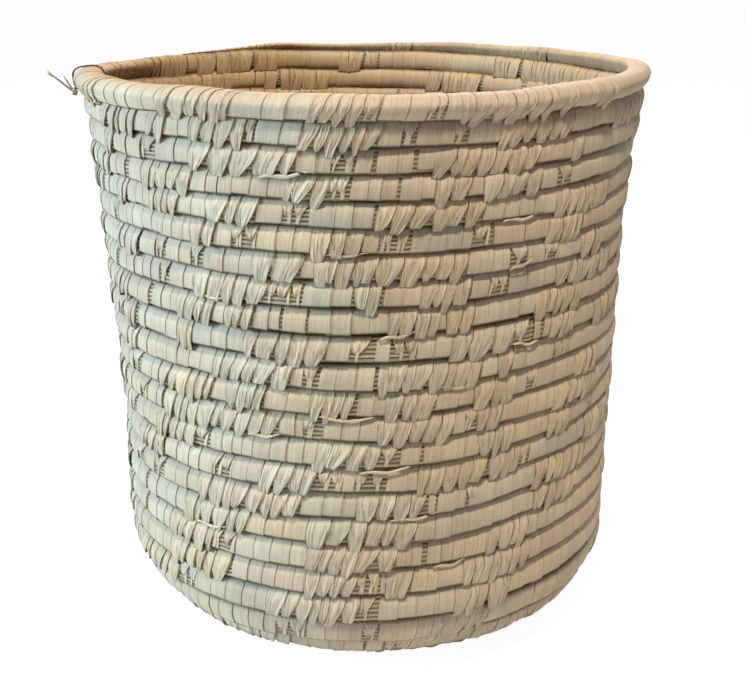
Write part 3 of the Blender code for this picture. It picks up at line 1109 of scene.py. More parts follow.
def run_along(points: Array) -> Array:
    """Length run along a path to each of its points."""
    steps = np.linalg.norm(np.diff(points, axis=0), axis=1)
    return np.concatenate([[0], np.cumsum(steps)])


@dataclass
class StripPlan:
    """One strip of leaf before it becomes a mesh."""

    kind: StripKind
    place: float
    width: float
    lean: float
    bow: float
    tip_shift: float
    tip_width: float
    reach: float
    low_lift: float
    high_lift: float
    folds: float
    fold_depth: float
    tone: float
    light: float
    seed: float


@dataclass(frozen=True)
class StripShape:
    """Section paths and columns of one kind of strip."""

    inner: Path
    outer: Path
    columns: int
    narrow_from: float
    narrow_power: float

    @property
    def plain(self) -> bool:
        """Whether the strip keeps its width all the way round."""
        return self.narrow_from > 1


SHAPES: dict[StripKind, StripShape] = {
    StripKind.WRAP: StripShape(INNER_FACE_SHARES, SECTION_SHARES, 9, 2.0, 1.0),
    StripKind.STITCH: StripShape(INNER_STITCH_SHARES, STITCH_FACE_SHARES, 28, 0.42, 1.25),
    StripKind.TUCK: StripShape(INNER_FACE_SHARES, TUCK_SHARES, 20, 0.30, 1.1),
}


class StripBatch:
    """Strips of one kind on their way to a mesh, as grids shaped strips, columns, rows.

    The grids tell how far across its strip each point lies, which columns are the turned-in
    edge, how far the point runs from the coil's top, whether that is inside the basket, how
    far the strip has narrowed there, and the point's place in the section and on the coil.
    """

    SKIRT_DEPTH = 1.1 * MM
    EDGE_SHARE = 0.048
    INNER_NARROWING = 0.35
    INNER_SHIFT = 0.3
    PUCKER = 0.10 * MM
    HANGING_FROM = (-0.97, 1.0)
    HANGING_START = -1.02
    HANGING_STEPS = (0.30, 0.65, 0.90, 1.0)
    HANGING_LIFT = 0.05
    HANGING_SINK = 0.10
    TIP_DOWN = 0.05
    TIP_IN = 0.22
    LEAST_NORM = 0.3
    HEIGHT_SHARE = 1.03
    BASE_DEPTH_SHARE = 0.93
    WALL_DEPTH_GAIN = 0.03
    WALL_GAIN_TURNS = 1.5
    COVER_TURNS = 0.02
    TEXTURE_STEP = 8 * MM

    def __init__(self, coil: Coil, shape: StripShape, plans: Sequence[StripPlan]) -> None:
        """Lay out the grids.

        Args:
            coil: The coil that the strips lie on.
            shape: What the strips share.
            plans: The strips.
        """
        self.coil = coil
        self.shape = shape
        self.plans = plans
        self.seed = self._each("seed")
        up, out = self._paths()
        steps = np.hypot(np.diff(up, axis=1), np.diff(out, axis=1))
        along = np.concatenate([np.zeros((len(plans), 1)), np.cumsum(steps, axis=1)], axis=1)
        to_top = along[:, len(shape.inner)][:, None]
        past_top = along - to_top
        side_length = np.where(past_top < 0, to_top, along[:, -1:] - to_top)
        self.up, self.out, self.along = up[:, None, :], out[:, None, :], along[:, None, :]
        self.run = (np.abs(past_top) / side_length)[:, None, :]
        self.inside = (past_top < 0)[:, None, :]
        edge = self.EDGE_SHARE
        between = np.linspace(0, 1, shape.columns - 4)[1:-1]
        across = np.concatenate([[0.0, 0.0, edge], between, [1 - edge, 1.0, 1.0]])
        self.across = across[None, :, None]
        self.skirt = np.zeros((1, shape.columns, 1))
        self.skirt[:, [0, -1]] = 1
        narrowing = np.clip(self.run - shape.narrow_from, 0, None) / abs(1 - shape.narrow_from)
        inner = np.where(self.inside, self.INNER_NARROWING, 1.0)
        self.narrow = narrowing**shape.narrow_power * inner
        full = self._each("width")
        self.width = full + (self._each("tip_width") - full) * self.narrow
        self.turn = coil.turn_at(self._length())
        self.fold = self._fold()
        self.deepening = 0.35 + 0.65 * eased((self.run - 0.1) / 0.55)

    def _each(self, name: str) -> Array:
        """One value of every strip, shaped to spread over its grid."""
        return np.array([getattr(plan, name) for plan in self.plans])[:, None, None]

    def _hanging(self, reach: float) -> list[tuple[float, float]]:
        """Draw the section path of a stitch's end, which lies on the course below.

        Args:
            reach: How far down the course below it reaches, as a share of half its height.

        Returns:
            The path.
        """
        path = [self.HANGING_FROM]
        for share in self.HANGING_STEPS:
            up = self.HANGING_START - reach * share
            resting = float(face_depth(2 + up)) + self.HANGING_LIFT
            path.append((up, max(resting, 1.0 - self.HANGING_SINK * share)))
        return [*path, (path[-1][0] - self.TIP_DOWN, path[-1][1] - self.TIP_IN)]

    def _paths(self) -> tuple[Array, Array]:
        """Draw the section paths of the strips, from the inside over the top to the outside.

        Returns:
            Heights and depths of the paths, as shares of the section.
        """
        inner = [(up, -out) for up, out in self.shape.inner[::-1]]
        paths = []
        for plan in self.plans:
            hanging = self._hanging(plan.reach) if plan.kind is StripKind.STITCH else []
            paths.append([*inner, *self.shape.outer, *hanging])
        both = np.array(paths)
        return both[..., 0], both[..., 1]

    def _length(self) -> Array:
        """Find the length of coil at every point, with the lean and sway of the strips.

        Returns:
            The lengths.
        """
        run, lean = self.run, self._each("lean")
        shift = np.where(self.inside, lean * (0.5 + run), lean * (0.5 - run))
        shift = shift - self._each("bow") * np.sin(math.pi * np.clip(run, 0, 1))
        aside = self._each("tip_shift") * self.narrow
        shift = shift + aside * np.where(self.inside, self.INNER_SHIFT, 1.0)
        sway = np.sin(TAU * (run * 1.2 + self.seed * 7 + self.across * 0.5))
        wander = (0.06 + 0.7 * self.narrow) * MM * sway
        return self._each("place") + (self.across - 0.5) * self.width + shift + wander

    def _fold(self) -> Array:
        """Crease the strips lengthwise.

        Returns:
            Height of the folds at every point, from 0 to 1.
        """
        pleat = self.across + 0.10 * np.sin(TAU * (self.across * 1.4 + self.seed * 9))
        pleat = pleat + 0.05 * np.sin(TAU * (self.seed * 23 + self.run))
        return np.abs(np.sin(math.pi * (pleat * self._each("folds") + self.seed * 5)))

    def _lift(self) -> Array:
        """Find how far the points stand off the coil.

        Returns:
            The lift of every point.
        """
        across = self.across
        lift = self._each("low_lift") * (1 - across) + self._each("high_lift") * across**1.6
        lift = lift + self.PUCKER * (1 - (2 * across - 1) ** 2)
        wobble = 0.7 + 0.3 * np.sin(TAU * (across * 1.7 + self.seed * 11 + self.run))
        lift = lift + self._each("fold_depth") * self.fold * wobble * self.deepening
        return lift - self.skirt * self.SKIRT_DEPTH

    def _points(self) -> Array:
        """Put the points in the world. Plain strips reach a little further down by chance.

        Returns:
            The points.
        """
        lift = self._lift()
        half_height, half_depth = self.coil.half_sizes(self.turn)
        norm = np.maximum(np.hypot(self.up, self.out), self.LEAST_NORM)
        sag = self._each("reach") * self.shape.plain * eased(-self.up)
        up = self.up * half_height * (self.HEIGHT_SHARE + sag)
        up = up + lift * np.clip(self.up, -1, 1) / norm * 0.5
        on_wall = eased((self.turn - self.coil.sizes.base_turns) / self.WALL_GAIN_TURNS)
        share = self.BASE_DEPTH_SHARE + self.WALL_DEPTH_GAIN * on_wall
        rounding = self.coil.rounding(self.turn, self.up)
        out = self.out * half_depth * share * rounding + lift * self.out / norm
        return self.coil.place(self.turn, up, out)

    def _painted_shade(self) -> Array:
        """Paint shade into the grooves between courses, the seams between strips and the creases,
        with a faint painted shadow of the course above.

        Returns:
            The painted shade of every point, from 0 to 1.
        """
        # Grooves are painted in shade only under a course above, so the rim's top stays clear.
        covered = 1 - eased((self.turn - self.coil.sizes.rim_turn) / self.COVER_TURNS + 1)
        groove_from = np.where(self.inside, 0.88, 0.74)
        painted_shade = eased((self.up - groove_from) / 0.10) * covered
        # A faint painted shadow that the course above casts on the upper part of each outer face.
        shadow_of_course_above = 0.10 * eased((self.up - 0.50) / 0.10) * covered * (1 - self.inside)
        painted_shade = np.maximum(painted_shade, shadow_of_course_above)
        # Painted shade along the strips' edges, in place of the shadow beside a lifted edge.
        seam = ((self.across <= 0) | (self.across >= 1)) * (0.15 + 0.85 * self.seed**2)
        if self.shape.plain:
            # Painted shade at the foot of each plain wrap, where it meets the groove.
            foot_shade = eased((-self.up - 0.86) / 0.08)
            return np.maximum(painted_shade, np.maximum(foot_shade, seam))
        # Painted shade in the hollows of the folds.
        crease_shade = 0.50 * eased((0.30 - self.fold) / 0.30) * self.deepening
        return np.maximum(painted_shade, np.maximum(crease_shade, 0.80 * seam))

    def add_to(self, parts: MeshParts) -> None:
        """Hand the strips over as grids.

        Args:
            parts: Where the grids are collected.
        """
        aside = (self.across - 0.5) * self.width + self.seed * 3.0
        uv = np.stack(
            np.broadcast_arrays(aside, self.along * self.TEXTURE_STEP + self.seed), axis=-1)
        # Pleated strips are painted lighter on their fold ridges and darker in the hollows: painted
        # light and shade.
        light = self._each("light") + 0.26 * (self.fold - 0.6) * (self._each("folds") > 2)
        outer = 1 - eased(-self.out / 0.5)
        tint = np.stack(
            np.broadcast_arrays(self._each("tone"), light, self._painted_shade(), outer), axis=-1)
        parts.add_grids(self._points(), uv, tint)


@dataclass(frozen=True)
class WrapHabits:
    """How plain wraps vary. Spans are drawn evenly and spreads by a bell curve."""

    tone_spread: float = 0.045
    proud_share: float = 0.45
    proud_lift_mm: Span = (0.45, 0.95)
    flat_lift_mm: Span = (0.18, 0.40)
    low_lift_mm: Span = (0, 0.08)
    overlaps: float = 2
    lean_spread_mm: float = 0.35
    reach_spread: float = 0.045
    folds: Span = (0.6, 1.6)
    fold_depth: float = 0.08 * MM
    gap_mm: Span = (0.9, 2.1)
    least_width: float = 2 * MM


@dataclass(frozen=True)
class StitchHabits:
    """How long stitches vary."""

    tip_share: Span = (0.22, 0.62)
    shift_share: Span = (0.3, 1.25)
    least_reach: float = 0.02
    more_reach: float = 0.60
    reach_power: float = 1.4
    overlaps: float = 2.2
    lean_mm: Span = (0.2, 1.2)
    bow_mm: Span = (0, 1.2)
    low_lift_mm: Span = (0.0, 0.4)
    high_lift_mm: Span = (0.6, 1.5)
    folds: Span = (3.2, 6.5)
    fold_depth_mm: Span = (0.6, 1.25)


@dataclass(frozen=True)
class TuckHabits:
    """How gathered strips vary, with the slivers beside them."""

    shift_share: Span = (-0.35, 0.15)
    lean: float = 1.5 * MM
    bow: float = 0.3 * MM
    tip_share: float = 0.14
    low_lift_mm: Span = (0.1, 0.4)
    high_lift_mm: Span = (0.3, 0.9)
    folds: Span = (2.6, 4.6)
    fold_depth: float = 0.8 * MM
    sliver_counts: tuple[int, int] = (1, 3)
    sliver_aside: Span = (-0.4, 0.4)
    sliver_width_mm: Span = (1.4, 2.6)
    sliver_lean_mm: Span = (4, 9)
    sliver_tip: float = 2 * MM
    sliver_low_lift: float = 0.05 * MM
    sliver_high_lift: float = 0.25 * MM
    sliver_fold_depth: float = 0.1 * MM
    sliver_paler: float = 0.2


@dataclass
class Weaver:
    """Lays strips of leaf along the coil and turns them into a mesh.

    The tone, the lean and the bow are those of the stretch that is being laid.
    """

    coil: Coil
    rng: np.random.Generator
    wrap: WrapHabits = WrapHabits()
    stitch: StitchHabits = StitchHabits()
    tuck: TuckHabits = TuckHabits()
    overlap: float = 1.3 * MM
    plain_tones: Span = (0.2, 0.85)
    tone_spread: float = 0.075
    light_spread: float = 1.3
    wall_lean_mm: float = 4.0
    rim_lean_mm: float = 6.5
    lean_spread_mm: float = 1.0
    bow_mm: Span = (-0.1, 0.6)
    width_spread: float = 0.25
    stitch_width_spread: float = 0.4
    run_spread: Span = (0.85, 1.15)
    least_fill: float = 2 * MM
    least_rest: float = 5 * MM
    tone: float = 0.5
    lean: float = 3.0 * MM
    bow: float = 0.3 * MM

    def plan_course(self, turn: int) -> list[StripPlan]:
        """Choose the strips of one turn of the coil.

        Args:
            turn: The turn's number, from 0 in the middle of the base.

        Returns:
            The strips in order along the coil.
        """
        start = float(self.coil.length_at(max(turn, self.coil.sizes.start_turn)))
        end = float(self.coil.length_at(turn + 1))
        layout = FRONT_LAYOUT.get(turn, ())
        if not layout:
            return self._fill(start, end)
        on_rim = turn == self.coil.sizes.rim_turn
        front = start if on_rim else self._length_at_bearing(turn, FRONT_BEARING)
        plans = self._fill(start, front)
        cursor = front
        for stretch in layout:
            until = self._length_at_bearing(turn, stretch.until)
            plans += self._lay(stretch.kind, cursor, until, stretch.count, stretch.tone)
            cursor = until
        return plans + self._fill(cursor, end)

    def _length_at_bearing(self, turn: int, bearing: float) -> float:
        """Length of coil at a bearing round the basket, in degrees, on one turn."""
        return float(self.coil.length_at(self.coil.turn_at_bearing(turn, bearing)))

    def _fill(self, start: float, end: float) -> list[StripPlan]:
        """Fill a stretch that the photograph doesn't show, in the same manner.

        Args:
            start: Length of coil where it begins.
            end: Length of coil where it ends.

        Returns:
            The strips.
        """
        rng = self.rng
        plans: list[StripPlan] = []
        cursor = start
        while cursor < end - self.least_fill:
            kind = rng.choice(FILL_KINDS, p=FILL_SHARES)
            least, most, width = FILL_RUNS[kind]
            count = int(rng.integers(least, most + 1))
            until = min(cursor + count * width * rng.uniform(*self.run_spread), end)
            if end - until < self.least_rest:
                until = end
            count = max(1, round((until - cursor) / width))
            plans += self._lay(kind, cursor, until, count, Tone.PLAIN)
            cursor = until
        return plans

    def _lay(self, kind: StripKind, start: float, end: float, count: int,
             tone: Tone) -> list[StripPlan]:
        """Lay strips of one kind side by side over a stretch.

        Args:
            kind: The kind of strip.
            start: Length of coil where the stretch begins.
            end: Length of coil where it ends.
            count: Number of strips.
            tone: Their colour.

        Returns:
            The strips.
        """
        rng = self.rng
        plain = tone is Tone.PLAIN
        self.tone = float(rng.uniform(*self.plain_tones)) if plain else tone.value
        on_rim = self.coil.turn_at(np.array([start]))[0] > self.coil.sizes.rim_turn
        lean_mm = self.rim_lean_mm if on_rim else self.wall_lean_mm
        self.lean = rng.normal(lean_mm, self.lean_spread_mm) * MM
        self.bow = rng.uniform(*self.bow_mm) * MM
        if kind is StripKind.SLIT:
            return []
        spread = self.stitch_width_spread if kind is StripKind.STITCH else self.width_spread
        shares = rng.uniform(1 - spread, 1 + spread, count)
        edges = start + (end - start) * np.concatenate([[0], np.cumsum(shares) / shares.sum()])
        if kind is StripKind.WRAP:
            edges[0] += rng.uniform(*self.wrap.gap_mm) * MM
            edges[-1] = max(edges[-1] - rng.uniform(*self.wrap.gap_mm) * MM,
                            edges[-2] + self.wrap.least_width)
        makers: dict[StripKind, Callable[[float, float], list[StripPlan]]] = {
            StripKind.WRAP: self._wrap,
            StripKind.STITCH: self._stitch,
            StripKind.TUCK: self._tuck,
        }
        plans: list[StripPlan] = []
        for low, high in zip(edges[:-1], edges[1:]):
            plans += makers[kind](float(low + high) / 2, float(high - low))
        return plans

    def _shade(self, spread: float) -> tuple[float, float]:
        """Choose the tone and lightness of one strip, near those of its stretch.

        Args:
            spread: How far the tone strays.

        Returns:
            The tone and the lightness.
        """
        rng = self.rng
        tone = float(np.clip(self.tone + rng.normal(0, spread), 0, 1))
        return tone, float(np.clip(rng.normal(0.5, self.light_spread * spread), 0, 1))

    def _wrap(self, place: float, width: float) -> list[StripPlan]:
        """Plan a plain strip that goes round the coil and stays on it.

        Args:
            place: Length of coil at its middle.
            width: Its visible width.

        Returns:
            The strip.
        """
        rng = self.rng
        habits = self.wrap
        tone, light = self._shade(habits.tone_spread)
        proud = rng.random() < habits.proud_share
        lift = rng.uniform(*(habits.proud_lift_mm if proud else habits.flat_lift_mm))
        return [StripPlan(
            kind=StripKind.WRAP,
            place=place,
            width=width + habits.overlaps * self.overlap,
            lean=self.lean + rng.normal(0, habits.lean_spread_mm) * MM,
            bow=self.bow,
            tip_shift=0.0,
            tip_width=width,
            reach=rng.normal(0, habits.reach_spread),
            low_lift=rng.uniform(*habits.low_lift_mm) * MM,
            high_lift=lift * MM,
            folds=rng.uniform(*habits.folds),
            fold_depth=habits.fold_depth,
            tone=tone,
            light=light,
            seed=rng.random(),
        )]

    def _stitch(self, place: float, width: float) -> list[StripPlan]:
        """Plan a long stitch that gathers to a tip over the course below.

        Args:
            place: Length of coil at its middle.
            width: Its visible width.

        Returns:
            The strip.
        """
        rng = self.rng
        habits = self.stitch
        tone, light = self._shade(self.tone_spread)
        tip = width * rng.uniform(*habits.tip_share)
        shift = -(width - tip) / 2 * rng.uniform(*habits.shift_share)
        reach = habits.least_reach + habits.more_reach * rng.random() ** habits.reach_power
        return [StripPlan(
            kind=StripKind.STITCH,
            place=place,
            width=width + habits.overlaps * self.overlap,
            lean=self.lean + rng.normal(*habits.lean_mm) * MM,
            bow=rng.uniform(*habits.bow_mm) * MM,
            tip_shift=shift,
            tip_width=tip,
            reach=reach,
            low_lift=rng.uniform(*habits.low_lift_mm) * MM,
            high_lift=rng.uniform(*habits.high_lift_mm) * MM,
            folds=rng.uniform(*habits.folds),
            fold_depth=rng.uniform(*habits.fold_depth_mm) * MM,
            tone=tone,
            light=light,
            seed=rng.random(),
        )]

    def _tuck(self, place: float, width: float) -> list[StripPlan]:
        """Plan a strip gathered in the middle of the course, with slivers beside it.

        Args:
            place: Length of coil at its middle.
            width: Its visible width.

        Returns:
            The strips.
        """
        rng = self.rng
        habits = self.tuck
        tone, light = self._shade(self.tone_spread)
        shift = width * rng.uniform(*habits.shift_share)
        gathered = StripPlan(
            kind=StripKind.TUCK,
            place=place,
            width=width + self.overlap,
            lean=habits.lean,
            bow=habits.bow,
            tip_shift=shift,
            tip_width=width * habits.tip_share,
            reach=0.0,
            low_lift=rng.uniform(*habits.low_lift_mm) * MM,
            high_lift=rng.uniform(*habits.high_lift_mm) * MM,
            folds=rng.uniform(*habits.folds),
            fold_depth=habits.fold_depth,
            tone=tone,
            light=light,
            seed=rng.random(),
        )
        count = rng.integers(*habits.sliver_counts)
        return [gathered, *(self._sliver(place, width) for _ in range(count))]

    def _sliver(self, place: float, width: float) -> StripPlan:
        """Plan a narrow strip beside a gathered one.

        Args:
            place: Length of coil at the middle of the gathered strip.
            width: Visible width of the gathered strip.

        Returns:
            The sliver.
        """
        rng = self.rng
        habits = self.tuck
        at = place + rng.uniform(*habits.sliver_aside) * width
        tone, light = self._shade(self.tone_spread)
        return StripPlan(
            kind=StripKind.WRAP,
            place=at,
            width=rng.uniform(*habits.sliver_width_mm) * MM,
            lean=rng.uniform(*habits.sliver_lean_mm) * MM,
            bow=0.0,
            tip_shift=0.0,
            tip_width=habits.sliver_tip,
            reach=0.0,
            low_lift=habits.sliver_low_lift,
            high_lift=habits.sliver_high_lift,
            folds=1.0,
            fold_depth=habits.sliver_fold_depth,
            tone=tone,
            light=min(light + habits.sliver_paler, 1),
            seed=rng.random(),
        )

    def mesh_strips(self, plans: Sequence[StripPlan], parts: MeshParts) -> None:
        """Turn planned strips into grids.

        Args:
            plans: The strips.
            parts: Where the grids are collected.
        """
        for kind, shape in SHAPES.items():
            chosen = [plan for plan in plans if plan.kind is kind]
            if chosen:
                StripBatch(self.coil, shape, chosen).add_to(parts)

    def add_tail(self, tail: LooseTail, parts: MeshParts) -> None:
        """Lay a loose end of leaf along a groove.

        Args:
            tail: Where it lies.
            parts: Where the grid is collected.
        """
        steps = np.linspace(0, 1, 16)[None, None, :]
        across = np.array([0.0, 0.0, 0.5, 1.0, 1.0])[None, :, None]
        skirt = np.array([1.0, 0.0, 0.0, 0.0, 1.0])[None, :, None]
        bearing = tail.start + (tail.end - tail.start) * steps
        turn = self.coil.turn_at_bearing(tail.turn, bearing)
        half_height, half_depth = self.coil.half_sizes(turn)
        width = tail.width * np.sin(math.pi * np.clip(steps * 0.92 + 0.06, 0, 1)) ** 0.5
        sway = 0.10 * np.sin(TAU * (steps * 1.3 + tail.start))
        up = half_height * (tail.up_start + (tail.up_end - tail.up_start) * steps + sway)
        up = up + (across - 0.5) * width
        resting = face_depth(up / half_height)
        below = np.maximum(face_depth(2 + up / half_height), 0.93)
        rest = np.where(up > -half_height, resting, below)
        arch = 0.35 * MM * (1 - (2 * across - 1) ** 2)
        ends = 1.0 * MM * (1 - np.sin(math.pi * steps) ** 0.3)
        out = rest * half_depth + 0.9 * MM + arch - skirt * 0.8 * MM - ends
        points = self.coil.place(turn, up, out)
        aside = across * tail.width + tail.start
        along = steps * (tail.end - tail.start) * 3.5 * MM
        uv = np.stack(np.broadcast_arrays(aside, along), axis=-1)
        parts.add_grids(points, uv, np.array((tail.tone.value, 0.75, 0.0, 1.0)))


@dataclass
class StalkBundle:
    """The ridged bundle of stalks that the leaf is wound on."""

    coil: Coil
    ridges: int = 20
    points_per_ridge: int = 4
    steps_per_turn: int = 90
    size_share: float = 0.93
    height_share: float = 1.04
    ridge_depth: float = 0.8 * MM
    ridge_power: float = 0.7
    wander_share: float = 0.12
    end_share: float = 0.02
    texture_width: float = 50 * MM
    seed: int = 4

    def build(self, name: str, start: float, end: float, finish: Material) -> Piece:
        """Make one stretch of the bundle.

        Args:
            name: Name of the piece.
            start: Turn where it begins.
            end: Turn where it ends.
            finish: Its material.

        Returns:
            The object.
        """
        count = int((end - start) * self.steps_per_turn) + 1
        turn = np.linspace(start, end, count)
        turn = np.concatenate([[turn[0]], turn, [turn[-1]]])[:, None]
        closed = np.ones((count + 2, 1))
        closed[[0, -1]] = self.end_share
        section = np.array(SECTION_SHARES)
        inner = np.array(INNER_FACE_SHARES)[::-1] * (1, -1)
        loop = np.concatenate([section, inner, section[:1]])
        run = run_along(loop)
        at = np.linspace(0, run[-1], self.ridges * self.points_per_ridge + 1)
        up_share = np.interp(at, run, loop[:, 0])[None, :]
        out_share = np.interp(at, run, loop[:, 1])[None, :]
        ridge = np.abs(np.cos(math.pi * at / run[-1] * self.ridges)) ** self.ridge_power
        wander = np.sin(turn * 70 + at[None, :] * 9) * np.cos(turn * 31 - at[None, :] * 5)
        drop = (1 - ridge[None, :] + np.abs(self.wander_share * wander)) * self.ridge_depth
        half_height, half_depth = self.coil.half_sizes(turn)
        up = up_share * (half_height * self.height_share - drop)
        out = out_share * (half_depth - drop) * self.size_share
        out = out * self.coil.rounding(turn, up_share)
        points = self.coil.place(np.broadcast_to(turn, up.shape), up * closed, out * closed)
        aside = (at / run[-1])[None, :] * self.texture_width
        uv = np.stack(np.broadcast_arrays(aside, self.coil.length_at(turn)), axis=-1)
        light = np.random.default_rng(self.seed).uniform(0.2, 1.0, self.ridges + 1)
        stalk = np.round(at / run[-1] * self.ridges).astype(int)
        lightness = light[stalk][None, :] + 0 * turn
        # The ridge height in the red channel paints near-black shade into the gaps between stalks.
        tint = np.stack(np.broadcast_arrays(ridge[None, :], lightness, 0.0, 1.0), axis=-1)
        parts = MeshParts()
        parts.add_grids(points[None], uv[None], tint[None])
        return parts.build(name, finish)


@dataclass
class StartKnot:
    """The gathered leaf in the middle of the base, where the coil begins."""

    coil: Coil
    folds: int = 15
    fold_depth: float = 0.55 * MM
    twist: float = 0.9
    around: int = 120
    along: int = 25
    past_coil: float = 4.8 * MM
    set_back: float = 0.3 * MM
    roundness: float = 0.55
    flatness: float = 0.7
    tone: float = 0.5
    light: float = 0.55
    # Painted shade in the hollows of the knot's folds.
    fold_shade: float = 0.25
    # Share of the dark painted-shade colour mixed evenly over the whole knot.
    painted_shade: float = 0.3

    def build(self, finish: Material) -> Piece:
        """Make the knot.

        Args:
            finish: Its material.

        Returns:
            The object.
        """
        sizes = self.coil.sizes
        bearing = np.linspace(0, TAU, self.around + 1)[:, None]
        fall = np.linspace(POLE_GAP, math.pi - POLE_GAP, self.along)[None, :]
        spread = np.sin(fall) ** self.roundness
        level = np.sign(np.cos(fall)) * np.abs(np.cos(fall)) ** self.flatness
        turned = bearing + self.twist * np.cos(fall)
        fold = np.abs(np.sin(turned * self.folds / 2)) * self.fold_depth
        radius = (sizes.knot_radius + self.past_coil) * spread - fold * np.sin(fall)
        height = (sizes.knot_height / 2 - self.set_back) * level + fold * np.cos(fall)
        points = np.stack(np.broadcast_arrays(
            radius * np.cos(bearing), radius * np.sin(bearing), sizes.base_depth / 2 + height),
            axis=-1)
        uv = np.stack(np.broadcast_arrays(turned * sizes.knot_radius, fall * sizes.knot_radius),
                      axis=-1)
        # Painted shade: the knot is darker in the hollows of its folds.
        light = self.light - self.fold_shade * fold / self.fold_depth
        tint = np.stack(np.broadcast_arrays(self.tone, light, self.painted_shade, 1.0), axis=-1)
        parts = MeshParts()
        parts.add_grids(points[None], uv[None], tint[None])
        return parts.build("start_leaf_knot", finish)


@dataclass(frozen=True)
class TieTail:
    """One loose tail of the string, by how far it reaches out, rises and goes aside."""

    name: str
    node: str
    reach: float
    rise: float
    aside: float
    frays: int


